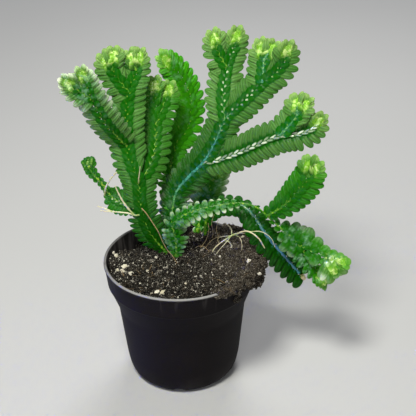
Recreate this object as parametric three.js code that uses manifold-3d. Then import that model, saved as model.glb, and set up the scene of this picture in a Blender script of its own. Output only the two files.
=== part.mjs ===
// A potted spikemoss (Selaginella brooksii): a thin black nursery pot, its heaped potting mix, five shoots
// whose flat leafy stems fork in two again and again, and their pale rooting stems (rhizophores).
// Millimetres, +Z up, x to the right, y away from the front. The origin is the middle of the pot's foot.
import * as THREE from "three";
import { mergeVertices } from "three/addons/utils/BufferGeometryUtils.js";
import Module from "manifold-3d";

const wasm = await Module();
wasm.setup();

// Pot: the driving sizes of a round 80 mm nursery pot.
const RIM_R = 40;
const POT_H = 68;
const FOOT_R = 25.5;
const FOOT_FLARE = 3.1; // how much wider the wall is above the foot's rounded edge
const WALL = 0.9;
const LIP = 0.5; // how far the rolled rim stands out from the collar
const LIP_H = 1.2;
const COLLAR_H = 12;
const COLLAR_R = RIM_R - 1.5;
const SHOULDER_H = 13; // the tapered step below the collar
const SHOULDER_R = 33.6;
const CORNER_H = 10; // where the wall starts to round in towards the foot
const CORNER_R = 30.2;
const FLOOR_T = 1.2;
const RELIEF_H = 1.6; // the floor's ring that stands clear of the ground, between pad and foot
const PAD_R = 9;
const POT_SIDES = 36;
const FEET = 6;
const FEET_TURN = 0.42; // how far the ring of notches is turned, in shares of its step
const NOTCH_W = 7;
const NOTCH_H = 3.4;
const DRAIN_R = 2.6;
const DRAIN_RING_R = 15.5;
const CUT_LONG = 10; // the length of a cutting pin, past both faces of what it cuts
const CUT_SIDES = 8;

// Potting mix.
const CLEAR = 0.35; // the gap that touching pieces keep
const SOIL_TOP = 65.5;
const SOIL_RINGS = 9;
const SOIL_SIDES = 30;
const CRUMB = 0.7; // height of the crumbs that roughen the mix
const SPILL_STEPS = 6; // the mix that has slumped over the rim, from one turn in degrees to another
const SPILL_FROM = -57;
const SPILL_TO = 8;
const GRAINS = 14; // perlite grains raised from the mix
const GRAIN_R = 1.3;
const GRAIN_REACH = 34; // how far from the middle they lie

// Leafy stems.
const STEM_R = 1.2; // half the width of a leafy stem, where its leaves are rooted
const STEM_TOP = 1.0;
const STEM_UNDER = 0.9;
const STEM_END = 0.8; // the stem's size at its end, in shares of its full size
const BRAID = 0.5; // how far the small median leaves stand up along the stem
const BRAID_OUT = 0.45; // how far their points lie to the side of its middle
const ROOT_T = 0.7; // thickness of a leaf where it leaves the stem
const EDGE_T = 0.6; // thickness of the overlapping leaves where their free ends part
const PITCH = 4; // from one side leaf to the next
const LEAN = [0.3, 0.45]; // how far a leaf leans forwards for each millimetre outwards, from foot to tip
const OVERLAP = 0.6; // the share of a leaf's length over which it overlaps the next one
const CROWN = 0.75; // how far a leaf's middle is raised above its edges
const CROWN_OUT = 0.6; // where along a leaf that middle lies
const ARCH = 1.0; // how far a leaf of nominal length rises before its tip turns down
const DROOP = 1.5;
const NOMINAL = 8;
const SHORTEST = 1.1; // a leaf that has no room for this length is left out
const TRY = 0.25; // the step in which a leaf's room is tried
const ROOM = 0.75; // a leaf stops where another stem is nearer than this share of the way to its own
const SIDEWAYS = 0.35; // a stem less than this far round to the leaf's side, from 0 to 1, takes no room
const BUD = 2.2; // how far a bud stands past the last leaves
const BUD_UP = 0.3;
const STALK_R = 1.3; // the bare foot of a shoot, in the mix
const STALK_THIN = 0.8; // its size at the top, in shares of its size at the bottom
const STALK_SIDES = 6;
const STALK_DEPTH = 8;
const ROOT_R = 0.55; // half the thickness of a rhizophore
const ROOT_THIN = 0.6;
const ROOT_SIDES = 5;
const ROUND_STEP = 2.6; // the length of one ring of a round stem

// The blunt free end of a leaf: [share of the pitch, share of the length] of its corners.
const LEAF_END = [
  [0.1, 0.93],
  [0.5, 1.03],
  [0.88, 0.95],
];

// Young arms: leaf size in shares of the size at the end of the branch that bears them, and their layout.
const YOUNG_LEAF = [1, 0.95, 0.75];
const YOUNG = { pitch: 2.8, overlap: 0.7, sweep: [0.4, 0.65], bare: 1.2 };

// A repeatable stream of numbers from 0 to 1.
function seeded(seed) {
  let state = seed;
  return () => {
    state = (state * 1664525 + 1013904223) % 4294967296;
    return state / 4294967296;
  };
}

const vec = (p) => new THREE.Vector3(...p);

// A geometry with shared corners and nothing but its positions.
function welded(geometry) {
  const bare = geometry.index ? geometry.toNonIndexed() : geometry.clone();
  bare.deleteAttribute("normal");
  bare.deleteAttribute("uv");
  return mergeVertices(bare, 1e-4);
}

// A closed three.js geometry as a solid.
function solidOf(geometry) {
  const mesh = welded(geometry);
  return new wasm.Manifold(
    new wasm.Mesh({
      numProp: 3,
      vertProperties: mesh.attributes.position.array,
      triVerts: new Uint32Array(mesh.index.array),
    }),
  );
}

// A solid from a flat list of coordinates and a list of triangles.
function solidFrom(positions, faces) {
  const geometry = new THREE.BufferGeometry();
  geometry.setAttribute("position", new THREE.BufferAttribute(new Float32Array(positions), 3));
  geometry.setIndex(faces);
  return solidOf(geometry);
}

// A solid as a three.js geometry.
function geometryOf(solid) {
  const mesh = solid.getMesh();
  const positions = new Float32Array(mesh.numVert * 3);
  for (let i = 0; i < mesh.numVert; i += 1) {
    for (let k = 0; k < 3; k += 1) positions[i * 3 + k] = mesh.vertProperties[i * mesh.numProp + k];
  }
  const geometry = new THREE.BufferGeometry();
  geometry.setAttribute("position", new THREE.BufferAttribute(positions, 3));
  geometry.setIndex(new THREE.BufferAttribute(new Uint32Array(mesh.triVerts), 1));
  return geometry;
}

const join = (solids) => solids.reduce((sum, next) => sum.add(next));
const moved = (geometry, x, y, z) => solidOf(geometry.translate(x, y, z));

// The biggest body of a solid, without crumbs that a cut has left loose.
const largest = (solid) =>
  solid.decompose().reduce((best, next) => (next.volume() > best.volume() ? next : best));

// A solid of revolution about Z, from [radius, height] points that run anticlockwise in the r-z plane.
function turned(points, sides) {
  const profile = points.map(([r, z]) => new THREE.Vector2(r, z));
  return solidOf(new THREE.LatheGeometry(profile, sides).rotateX(Math.PI / 2));
}

// The pot's outer wall from foot to rim, as [radius, height] points, grown outwards by a margin.
function outerWall(margin = 0) {
  return [
    [FOOT_R + margin, 0],
    [FOOT_R + FOOT_FLARE + margin, FOOT_FLARE],
    [CORNER_R + margin, CORNER_H],
    [SHOULDER_R + margin, POT_H - COLLAR_H - SHOULDER_H],
    [COLLAR_R - 0.6 + margin, POT_H - COLLAR_H - 0.8],
    [COLLAR_R + margin, POT_H - COLLAR_H],
    [RIM_R - LIP + margin, POT_H - 1.5 * LIP_H],
    [RIM_R + margin, POT_H - LIP_H],
    [RIM_R - 0.2 + margin, POT_H + margin],
  ];
}

// The pot's inner wall from rim to floor, moved inwards by a margin.
function innerWall(margin = 0) {
  return [
    [RIM_R - LIP - WALL - margin, POT_H],
    [COLLAR_R - WALL - margin, POT_H - COLLAR_H + 0.6],
    [SHOULDER_R - WALL - margin, POT_H - COLLAR_H - SHOULDER_H],
    [CORNER_R - WALL - margin, CORNER_H],
    [FOOT_R + 1.8 - margin, RELIEF_H + FLOOR_T + margin],
  ];
}

function makePot() {
  const profile = [
    [0, 0],
    [PAD_R, 0],
    [PAD_R + 1, RELIEF_H],
    [FOOT_R - 3.2, RELIEF_H],
    [FOOT_R - 2.4, 0],
    ...outerWall(),
    ...innerWall(),
    [0, RELIEF_H + FLOOR_T],
  ];
  let pot = turned(profile, POT_SIDES);
  for (let i = 0; i < FEET; i += 1) {
    const turn = ((i + FEET_TURN) / FEET) * Math.PI * 2;
    // An arched notch through the foot ring, which lets water out from under the pot.
    const notch = new THREE.CylinderGeometry(NOTCH_W / 2, NOTCH_W / 2, CUT_LONG, CUT_SIDES);
    notch.rotateZ(Math.PI / 2).scale(1, 1, NOTCH_H / (NOTCH_W / 2));
    notch.translate(FOOT_R + 1, 0, 0).rotateZ(turn);
    pot = pot.subtract(solidOf(notch));
    const drain = new THREE.CylinderGeometry(DRAIN_R, DRAIN_R, CUT_LONG, CUT_SIDES);
    drain.rotateX(Math.PI / 2).translate(DRAIN_RING_R, 0, 0).rotateZ(turn + Math.PI / FEET);
    pot = pot.subtract(solidOf(drain));
  }
  return pot;
}

// A smooth pattern of bumps and hollows, from -1 to 1.
function ripple(x, y) {
  const broad = Math.sin(x * 0.21 + 1.3) * Math.cos(y * 0.17 - 0.6);
  const fine = Math.sin(x * 0.63 + y * 0.41) * Math.cos(y * 0.71 - x * 0.33);
  return 0.55 * broad + 0.45 * fine;
}

const bell = (x, y, cx, cy, rx, ry) => Math.exp(-(((x - cx) / rx) ** 2) - ((y - cy) / ry) ** 2);

// Height of the mix: level at the front, heaped at the right and sunk away from the wall at the back left.
function soilHeight(x, y) {
  const heap = 6 * bell(x, y, 34, 6, 17, 20);
  const ridge = 3.5 * bell(x, y, 16, 16, 16, 12);
  const sunk = 8.5 * bell(x, y, -25, 24, 14, 12);
  const lowBack = 3.5 * bell(x, y, 22, 34, 12, 7);
  const dish = 1.2 * bell(x, y, -3, 2, 12, 9);
  return SOIL_TOP + heap + ridge - sunk - lowBack - dish + 0.8 * ripple(x, y);
}

// The root ball: a turned plug that fills the pot, with a rough top.
function makeRootBall() {
  const crumb = seeded(11);
  const wall = innerWall(CLEAR);
  const positions = [];
  const faces = [];
  const ring = (r, height) => {
    const first = positions.length / 3;
    for (let i = 0; i < SOIL_SIDES; i += 1) {
      const turn = (i / SOIL_SIDES) * Math.PI * 2;
      const x = r * Math.cos(turn);
      const y = r * Math.sin(turn);
      positions.push(x, y, height(x, y));
    }
    return first;
  };
  const band = (low, high) => {
    for (let i = 0; i < SOIL_SIDES; i += 1) {
      const j = (i + 1) % SOIL_SIDES;
      faces.push(low + i, low + j, high + j, low + i, high + j, high + i);
    }
  };
  const fan = (centre, edge, up) => {
    for (let i = 0; i < SOIL_SIDES; i += 1) {
      const j = (i + 1) % SOIL_SIDES;
      faces.push(centre, edge + (up ? i : j), edge + (up ? j : i));
    }
  };
  const [baseR, base] = wall.at(-1);
  positions.push(0, 0, base);
  let below = ring(baseR, () => base);
  fan(0, below, false);
  for (const [r, z] of wall.slice(2, -1).reverse()) {
    const next = ring(r, () => z);
    band(below, next);
    below = next;
  }
  const edgeR = COLLAR_R - WALL - 2 * CLEAR;
  const rough = (x, y) => soilHeight(x, y) + (crumb() - 0.5) * 2 * CRUMB;
  for (let k = SOIL_RINGS; k > 0; k -= 1) {
    const next = ring((edgeR * k) / SOIL_RINGS, rough);
    band(below, next);
    below = next;
  }
  const top = positions.length / 3;
  positions.push(0, 0, soilHeight(0, 0));
  fan(top, below, true);
  return solidFrom(positions, faces);
}

// A crumbly lump: a ball stretched to size, with each corner pushed in or out.
function lump(centre, size, detail, rough, seed) {
  const random = seeded(seed);
  const ball = welded(new THREE.IcosahedronGeometry(1, detail));
  const p = ball.attributes.position;
  for (let i = 0; i < p.count; i += 1) {
    const push = 1 + (random() - 0.5) * 2 * rough;
    p.setXYZ(i, p.getX(i) * size[0] * push, p.getY(i) * size[1] * push, p.getZ(i) * size[2] * push);
  }
  return moved(ball, ...centre);
}

// A lump of mix that lies on the rim at a turn in degrees, with its first size measured outwards.
function rimLump(turn, r, z, size, seed) {
  return lump([r, 0, z], size, 1, 0.1, seed).rotate([0, 0, turn]);
}

// The pot's upper wall and a clear margin round it, for cutting the slumped mix back from the rim.
function potKeepOut() {
  const inside = [[RIM_R - LIP - WALL - CLEAR, POT_H + CLEAR], ...innerWall(CLEAR + 0.02).slice(1, 3)];
  const shell = [...outerWall(CLEAR).slice(3), ...inside];
  return turned([...shell, shell[0]], POT_SIDES);
}

// The mix that has slumped over the rim at the right: a roll along the lip that swells to a lobe, and two
// dribbles below it.
function makeSpill() {
  const lumps = [];
  for (let i = 0; i < SPILL_STEPS; i += 1) {
    const grow = i / (SPILL_STEPS - 1);
    const turn = SPILL_FROM + (SPILL_TO - SPILL_FROM) * grow;
    const size = [3.2 + 2.4 * grow, 5.4, 2.4 + 1.7 * grow];
    lumps.push(rimLump(turn, 38.4 + 0.8 * grow, 66.6 - 2.2 * grow, size, 5 + i));
  }
  lumps.push(rimLump(-43, 38.6, 61, [2, 2.6, 6], 15));
  lumps.push(rimLump(-17, 41.2, 62, [3.2, 6, 5], 16));
  return join(lumps);
}

function makeSoil(holes) {
  let soil = makeRootBall().add(makeSpill()).subtract(potKeepOut());
  const random = seeded(23);
  for (let i = 0; i < GRAINS; i += 1) {
    const r = GRAIN_REACH * Math.sqrt(random());
    const turn = -Math.PI * (0.05 + 1.1 * random());
    const x = r * Math.cos(turn);
    const y = r * Math.sin(turn);
    const size = GRAIN_R * (0.6 + 0.6 * random());
    const centre = [x, y, soilHeight(x, y) + 0.4];
    soil = soil.add(lump(centre, [size, size * 0.8, size * 0.8], 0, 0.15, i + 40));
  }
  for (const [x, y, r] of holes) {
    const hole = new THREE.CylinderGeometry(r, r, STALK_DEPTH + 20, 10).rotateX(Math.PI / 2);
    soil = soil.subtract(moved(hole, x, y, SOIL_TOP + 10 - STALK_DEPTH / 2));
  }
  return largest(soil);
}

// A value, number or vector, that changes along a branch, from a list of evenly spaced ones.
function spread(values, share, mix) {
  const place = Math.min(Math.max(share, 0), 1) * (values.length - 1);
  const low = Math.min(Math.floor(place), values.length - 2);
  return mix(values[low], values[low + 1], place - low);
}

const between = (a, b, t) => a + (b - a) * t;

// A branch's moving frame: the point at a distance along the route, the direction of growth, the face that
// the branch turns to the light, and the direction to its right.
function branchFrame(branch) {
  const curve = new THREE.CatmullRomCurve3(branch.route.map(vec));
  const length = curve.getLength();
  const faces = branch.face.map(vec);
  const centre = (u) => {
    const t = Math.min(Math.max(u / length, 0), 1);
    return curve.getPointAt(t).addScaledVector(curve.getTangentAt(t), u - t * length);
  };
  const axes = (u) => {
    const t = Math.min(Math.max(u / length, 0), 1);
    const grow = curve.getTangentAt(t);
    const face = spread(faces, t, (a, b, share) => a.clone().lerp(b, share));
    face.addScaledVector(grow, -face.dot(grow)).normalize();
    return { grow, face, right: grow.clone().cross(face) };
  };
  const at = (u, v, h) => {
    const { face, right } = axes(u);
    return centre(u).addScaledVector(right, v).addScaledVector(face, h);
  };
  const points = Math.ceil(length);
  const midline = Array.from({ length: points + 1 }, (_, i) => curve.getPointAt(i / points));
  return { length, centre, axes, at, midline };
}

// The point of a midline that lies nearest to p.
const nearest = (midline, p) =>
  midline.reduce((best, q) => (q.distanceToSquared(p) < best.distanceToSquared(p) ? q : best));

// Height of a leaf above its stem's middle plane, at a share of its length.
const leafHeight = (out, reach) =>
  (ARCH * Math.sin(Math.PI * out) - DROOP * out * out) * (reach / NOMINAL);

// One leafy stem: a ridged stem with a row of thin arched leaves down each side, in one closed surface. The
// leaves of a row overlap near the stem and part towards their blunt ends. A leaf stops short where it comes
// up to a neighbouring stem, and where there is no room for one the stem is bare.
function leafyStem(branch, others) {
  const { frame } = branch;
  const bare = branch.bare ?? 0;
  const overlap = branch.overlap ?? OVERLAP;
  const count = Math.max(2, Math.round((frame.length - bare) / (branch.pitch ?? PITCH)));
  const step = (frame.length - bare) / count;
  const leanAt = (i) => spread(branch.sweep ?? LEAN, i / count, between);
  const points = [];
  const faces = [];
  const put = (u, v, h) => points.push(frame.at(u, v, h)) - 1;
  const section = (u, size) => ({
    left: { top: put(u, -STEM_R * size, ROOT_T / 2), under: put(u, -STEM_R * size, -ROOT_T / 2) },
    right: { top: put(u, STEM_R * size, ROOT_T / 2), under: put(u, STEM_R * size, -ROOT_T / 2) },
    crest: put(u, 0, STEM_TOP * size),
    keel: put(u, 0, -STEM_UNDER * size),
  });
  const loopOf = ({ left, right, crest, keel }) => [
    right.under,
    right.top,
    crest,
    left.top,
    left.under,
    keel,
  ];
  const sections = [];
  for (let i = 0; i < count; i += 1) sections.push(section(bare + i * step, 1));
  sections.push(section(frame.length, STEM_END));
  // Another stem takes room from a leaf only where it lies out to that leaf's side.
  const crowded = (p, root, outward) => {
    const own = nearest(frame.midline, p).distanceTo(p);
    return others.some((other) => {
      const q = nearest(other.frame.midline, p);
      if (q.distanceTo(p) > own * ROOM) return false;
      return q.clone().sub(root).normalize().dot(outward) > SIDEWAYS;
    });
  };
  const reachOf = (i, side) => {
    const lean = leanAt(i + 0.5);
    const full = spread(branch.leaf, (i + 0.5) / count, between);
    const free = LEAF_END.map(([along]) => {
      const u = bare + (i + along) * step;
      const root = frame.centre(u);
      const outward = frame.axes(u).right.multiplyScalar(side);
      let reach = 0;
      while (reach < full) {
        const out = reach + TRY;
        const p = frame.at(u + lean * out, side * (STEM_R + out), leafHeight(out / full, full));
        if (crowded(p, root, outward)) break;
        reach = out;
      }
      return Math.min(reach, full);
    });
    const reach = Math.min(...free);
    return reach < SHORTEST ? 0 : reach;
  };
  for (const [side, key] of [[-1, "left"], [1, "right"]]) {
    const tri = (a, b, c) => (side > 0 ? faces.push(a, b, c) : faces.push(a, c, b));
    const reaches = Array.from({ length: count }, (_, i) => reachOf(i, side));
    // Where two leaves part: a point on each face, or none beside a bare stretch.
    const partings = reaches.map((reach, i) => {
      if (i === 0 || !reach || !reaches[i - 1]) return null;
      const shared = Math.min(reach, reaches[i - 1]);
      const out = overlap * shared;
      const height = leafHeight(overlap, shared);
      const u = bare + i * step + leanAt(i) * out;
      const v = side * (STEM_R + out);
      return { top: put(u, v, height + EDGE_T / 2), under: put(u, v, height - EDGE_T / 2) };
    });
    reaches.forEach((reach, i) => {
      const low = sections[i][key];
      const high = sections[i + 1][key];
      const crest = [sections[i].crest, sections[i + 1].crest];
      const keel = [sections[i].keel, sections[i + 1].keel];
      tri(low.under, keel[0], keel[1]);
      tri(low.under, keel[1], high.under);
      // The small median leaves stand on the left and the right of the stem in turn.
      if (i % 2 === (side > 0 ? 1 : 0)) {
        const braid = put(bare + (i + 0.6) * step, side * BRAID_OUT, STEM_TOP + BRAID);
        tri(braid, crest[0], low.top);
        tri(braid, low.top, high.top);
        tri(braid, high.top, crest[1]);
        tri(braid, crest[1], crest[0]);
      } else {
        tri(crest[0], low.top, high.top);
        tri(crest[0], high.top, crest[1]);
      }
      if (!reach) {
        tri(low.top, low.under, high.under);
        tri(low.top, high.under, high.top);
        return;
      }
      const lean = leanAt(i + 0.5);
      const u0 = bare + i * step;
      const end = LEAF_END.map(([along, out]) => {
        const u = u0 + along * step + lean * out * reach;
        return put(u, side * (STEM_R + out * reach), leafHeight(out, reach));
      });
      const first = partings[i];
      const last = partings[i + 1];
      const outline = (face) => {
        const before = [low, first].filter(Boolean).map((place) => place[face]);
        const after = [last, high].filter(Boolean).map((place) => place[face]);
        return [...before, ...end, ...after];
      };
      const crownU = u0 + 0.5 * step + lean * CROWN_OUT * reach;
      const crownH = leafHeight(CROWN_OUT, reach) + CROWN;
      const middle = put(crownU, side * (STEM_R + CROWN_OUT * reach), crownH);
      const rim = outline("top");
      rim.forEach((from, j) => tri(middle, from, rim[(j + 1) % rim.length]));
      const base = outline("under");
      for (let j = 1; j < base.length - 1; j += 1) tri(base[0], base[j + 1], base[j]);
      const from = first ?? low;
      const to = last ?? high;
      tri(from.top, from.under, end[0]);
      tri(to.under, to.top, end.at(-1));
    });
  }
  const start = loopOf(bare ? section(0, 1) : sections[0]);
  if (bare) {
    const next = loopOf(sections[0]);
    start.forEach((a, j) => {
      const k = (j + 1) % start.length;
      faces.push(start[k], a, next[j], start[k], next[j], next[k]);
    });
  }
  for (let j = 1; j < start.length - 1; j += 1) faces.push(start[0], start[j], start[j + 1]);
  const end = loopOf(sections[count]);
  const tip = put(frame.length + BUD, 0, BUD_UP);
  end.forEach((a, j) => faces.push(end[(j + 1) % end.length], a, tip));
  return solidFrom(points.flatMap((p) => p.toArray()), faces);
}

// The young end of a branch: a short arm that has just parted from it, or more than one, each given as its
// distance back from the end, its length and its turn in degrees.
function youngArms(branch) {
  const { length, centre, axes } = branch.frame;
  return branch.arms.map(([back, reach, turn]) => {
    const { grow, face, right } = axes(length - back);
    const start = centre(length - back);
    const angle = THREE.MathUtils.degToRad(turn);
    const way = grow.clone().multiplyScalar(Math.cos(angle)).addScaledVector(right, Math.sin(angle));
    const half = start.clone().addScaledVector(way, reach * 0.5).addScaledVector(face, reach * 0.06);
    const tip = start.clone().addScaledVector(way, reach);
    return {
      route: [start, half, tip].map((p) => p.toArray()),
      face: [face.toArray(), face.clone().addScaledVector(way, 0.3).toArray()],
      leaf: YOUNG_LEAF.map((share) => branch.leaf.at(-1) * share),
      ...YOUNG,
    };
  });
}

// A round stem along a route, thinning towards its end.
function roundStem(route, radius, thin, sides) {
  const curve = new THREE.CatmullRomCurve3(route.map(vec));
  const steps = Math.max(2, Math.round(curve.getLength() / ROUND_STEP));
  const corners = Array.from({ length: sides }, (_, i) => {
    const turn = (i / sides) * Math.PI * 2;
    return new THREE.Vector2(radius * Math.cos(turn), radius * Math.sin(turn));
  });
  const options = { extrudePath: curve, steps, bevelEnabled: false, curveSegments: 1 };
  const tube = new THREE.ExtrudeGeometry(new THREE.Shape(corners), options);
  const p = tube.attributes.position;
  const along = Array.from({ length: steps + 1 }, (_, i) => curve.getPointAt(i / steps));
  const point = new THREE.Vector3();
  for (let i = 0; i < p.count; i += 1) {
    point.fromBufferAttribute(p, i);
    const centre = nearest(along, point);
    const scale = between(1, thin, along.indexOf(centre) / steps);
    point.sub(centre).multiplyScalar(scale).add(centre);
    p.setXYZ(i, point.x, point.y, point.z);
  }
  return solidOf(tube);
}

// A shoot: its bare stalk in the mix, its leafy stems and their young tips, grown together.
function makeShoot({ stalk, branches }) {
  const framed = (branch) => ({ ...branch, frame: branchFrame(branch) });
  const grown = branches.map(framed);
  const young = grown.filter((branch) => branch.arms).flatMap(youngArms).map(framed);
  const all = [...grown, ...young];
  const solids = all.map((branch) => leafyStem(branch, all.filter((other) => other !== branch)));
  solids.push(roundStem(stalk, STALK_R, STALK_THIN, STALK_SIDES));
  return largest(join(solids));
}

const makeRhizophore = (strands) =>
  largest(join(strands.map((route) => roundStem(route, ROOT_R, ROOT_THIN, ROOT_SIDES))));

// The shoots. A branch is given by its route and by evenly spaced values along it: the face it turns to the
// light, the length of its leaves and how far they sweep forwards. A branch starts inside the one that bears
// it, with a bare neck.
const shootLeft = {
  stalk: [[-7, 8.5, 58], [-7.2, 8.3, 62], [-8.2, 8, 66.8]],
  branches: [
    {
      route: [
        [-7.5, 8, 65.8], [-15.5, 7, 79], [-19.5, 8, 93], [-20.5, 11, 107.5], [-24, 14, 117],
        [-25.5, 17, 128], [-25, 21, 141], [-23, 23.5, 152], [-20.2, 25.5, 160], [-18.8, 27, 168],
      ],
      face: [[-0.2, -0.9, 0.2], [0, -0.95, 0.25], [0, -0.95, 0.3], [0.1, -0.85, 0.5]],
      leaf: [2, 7.5, 8, 8, 8.5, 9, 9, 9, 8, 7, 4],
      sweep: [0.3, 0.35, 0.35, 0.6],
      arms: [[7, 7, -34]],
    },
    {
      route: [[-23, 23.4, 151.8], [-27.5, 24, 160], [-32, 25, 168.5]],
      face: [[0, -0.9, 0.4], [-0.15, -0.85, 0.5]],
      leaf: [8.5, 8, 7.5, 4],
      sweep: [0, 0.35, 0.6],
      bare: 0.8,
      arms: [[7, 8, 36]],
    },
    {
      route: [
        [-25.2, 16.2, 124], [-29.5, 12.6, 131.5], [-34, 8, 140.5], [-38, 5, 150],
        [-40.5, 3, 157.5], [-42, 2, 164], [-43, 1, 170],
      ],
      face: [[-0.1, -0.95, 0], [-0.3, -0.8, 0.45], [-0.2, -0.8, 0.5]],
      leaf: [7, 8.5, 8.5, 8, 7, 4],
      sweep: [0.3, 0.35, 0.4, 0.6],
      bare: 2,
    },
    {
      route: [[-40, 3.4, 156.2], [-46, 1, 161.4], [-50.5, -1, 166.5]],
      face: [[-0.3, -0.8, 0.45], [-0.4, -0.7, 0.5]],
      leaf: [7, 6.5, 3.8],
      sweep: [0, 0.4, 0.6],
      bare: 0.8,
    },
    {
      route: [
        [-20.3, 10.6, 105.6], [-14.5, 16.5, 113.5], [-12, 23, 121], [-11, 29, 132.5],
        [-11.3, 32, 142], [-11.2, 34, 151],
      ],
      face: [[0.1, -0.95, 0.3], [0.1, -0.9, 0.4], [0, -0.85, 0.5]],
      leaf: [8, 8.5, 8, 7.5, 7, 4],
      sweep: [0.3, 0.35, 0.4, 0.6],
      bare: 2,
    },
    {
      route: [[-11, 28.6, 131.4], [-6.8, 32.5, 140], [-4.2, 35.6, 147.5]],
      face: [[0.1, -0.9, 0.4], [0.2, -0.85, 0.5]],
      leaf: [7.5, 7, 4],
      sweep: [0, 0.35, 0.6],
      bare: 0.8,
    },
    {
      // The low sprig at the left: leaves in two bunches, with a bare stretch between them.
      route: [
        [-19.5, 8.2, 90.8], [-26.5, 12.5, 92], [-34, 14.5, 95], [-39, 15.5, 102.5],
        [-44, 16, 109.5], [-47.5, 17, 115],
      ],
      face: [[-0.2, -0.75, 0.6], [-0.3, -0.8, 0.4]],
      leaf: [2.5, 5.5, 6, 1.4, 1.4, 4.5, 4],
      sweep: [0.3, 0.4, 1],
      bare: 2.5,
      arms: [[5, 6, 40]],
    },
  ],
};

const shootRight = {
  stalk: [[-4.6, 12, 58], [-4.8, 12.2, 62], [-4.9, 12.6, 66.6]],
  branches: [
    {
      route: [
        [-5, 12.4, 65.8], [-4.5, 15, 74], [-4, 18, 85], [-1.2, 20, 96], [5.5, 20, 104.5],
        [13, 19.2, 113], [19, 20, 123.5], [24.5, 22, 135.5], [31.5, 20.8, 143.5], [38, 20, 150.5],
        [43.5, 19.5, 156.5], [49, 18.4, 161.5], [53, 17.4, 168], [54.5, 17, 174.5],
      ],
      face: [
        [0, -0.95, 0.2], [-0.15, -0.95, 0.3], [-0.2, -0.9, 0.35], [-0.2, -0.9, 0.35],
        [0.1, -0.9, 0.4],
      ],
      leaf: [0, 6, 7, 8.5, 9, 9, 9, 8.5, 8.5, 8.5, 8, 7.5, 4],
      sweep: [0.3, 0.35, 0.35, 0.35, 0.6],
    },
    {
      route: [[42.8, 19.6, 155.8], [43.4, 22, 165.5], [42.2, 23.8, 173]],
      face: [[-0.2, -0.9, 0.35], [-0.2, -0.85, 0.45]],
      leaf: [8, 7.5, 4],
      sweep: [0, 0.35, 0.6],
      bare: 0.8,
      arms: [[7, 7.5, 38]],
    },
    {
      route: [
        [24.2, 21.9, 134.8], [23.5, 25, 146], [24.5, 28, 154.5], [26, 30.4, 162],
        [28.8, 32, 169], [30.4, 33, 176.5],
      ],
      face: [[-0.1, -0.9, 0.4], [0, -0.9, 0.4], [0.2, -0.85, 0.45]],
      leaf: [8.5, 9, 8.5, 8, 7, 4],
      sweep: [0.3, 0.35, 0.4, 0.6],
      bare: 1.5,
    },
    {
      route: [[25.6, 29.9, 160.4], [21.4, 31, 168], [19.2, 32, 176]],
      face: [[0, -0.9, 0.4], [-0.1, -0.85, 0.5]],
      leaf: [7.5, 7, 4],
      sweep: [0, 0.35, 0.6],
      bare: 0.8,
    },
    {
      route: [
        [12, 19.3, 111.6], [24, 15.6, 117], [36.5, 11, 124.5], [45, 8, 130],
        [52.5, 6, 133.2], [60.5, 4, 135], [66.5, 2, 138.5], [69.5, 1, 143.5],
      ],
      face: [[-0.2, -0.85, 0.45], [-0.3, -0.85, 0.4], [-0.25, -0.85, 0.45]],
      leaf: [7, 8.5, 8.5, 8.5, 8, 7.5, 4],
      sweep: [0.3, 0.35, 0.4, 0.6],
      bare: 2,
    },
    {
      route: [[51, 6.4, 132.8], [57.5, 5, 142], [62.8, 5, 150.5]],
      face: [[-0.3, -0.85, 0.4], [-0.3, -0.8, 0.5]],
      leaf: [8, 7.5, 4],
      sweep: [0, 0.35, 0.6],
      bare: 0.8,
      arms: [[7, 7, -36]],
    },
    {
      // The arch behind the others, which bulges to the right and turns its edge to the front.
      route: [
        [-4, 18, 86], [-4.5, 26, 97.5], [-4.5, 33, 106], [-2, 39, 113], [4, 45, 120.5],
        [6.5, 49, 130.5], [4.5, 51, 141], [-0.5, 51, 150.5], [-6.5, 49, 158],
      ],
      face: [[0.1, -0.8, 0.6], [0.45, -0.7, 0.55], [0.75, -0.55, 0.5], [0.6, -0.6, 0.6]],
      leaf: [4, 6.5, 7.5, 9, 9, 8, 7, 4.5],
      sweep: [0.3, 0.4, 0.5, 1],
      bare: 2,
    },
  ],
};

const shootTrailing = {
  stalk: [[-1.6, 3.6, 58], [-1.7, 3.8, 62], [-2, 4.4, 66.4]],
  branches: [
    {
      route: [
        [-2, 4.3, 65.6], [-2.2, 3, 76.5], [-3, 2, 86], [2, 1, 91.5], [10.5, 0, 96],
        [20.5, 0, 98], [31, -1, 99.5], [39, -2, 97.6], [45.5, -3, 92], [53.5, -5, 84.5],
        [62.4, -8, 77.2], [72, -11, 73.6], [82.5, -14, 71],
      ],
      face: [
        [-0.2, -0.9, 0.1], [-0.1, -0.7, 0.6], [-0.1, -0.6, 0.8], [0.1, -0.6, 0.75], [0.35, -0.6, 0.7],
        [0.3, -0.6, 0.75],
      ],
      leaf: [2, 6, 5.5, 4.5, 4.5, 4, 2.4, 1.5, 2, 5, 8, 9.5, 6],
      overlap: 0.35,
      sweep: [0.3, 0.35, 0.4, 1],
      arms: [[10, 9, 32]],
    },
    {
      route: [[44.6, -2.8, 93], [52, -6, 100], [60, -10, 112], [67, -12.8, 125.5]],
      face: [[-0.4, -0.8, 0.2], [-0.5, -0.8, 0.3]],
      leaf: [4, 6.5, 8, 8, 4],
      sweep: [0.3, 0.35, 0.4, 0.6],
      bare: 1.5,
      arms: [[7, 7, -30]],
    },
    {
      route: [[61.2, -7.7, 78], [66, -8, 68.5], [73.5, -9, 57.5]],
      face: [[0.4, -0.6, 0.5], [0.5, -0.5, 0.6]],
      leaf: [7, 7.5, 4.5],
      overlap: 0.4,
      sweep: [0.35, 1.1],
      bare: 1.5,
    },
  ],
};

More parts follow.
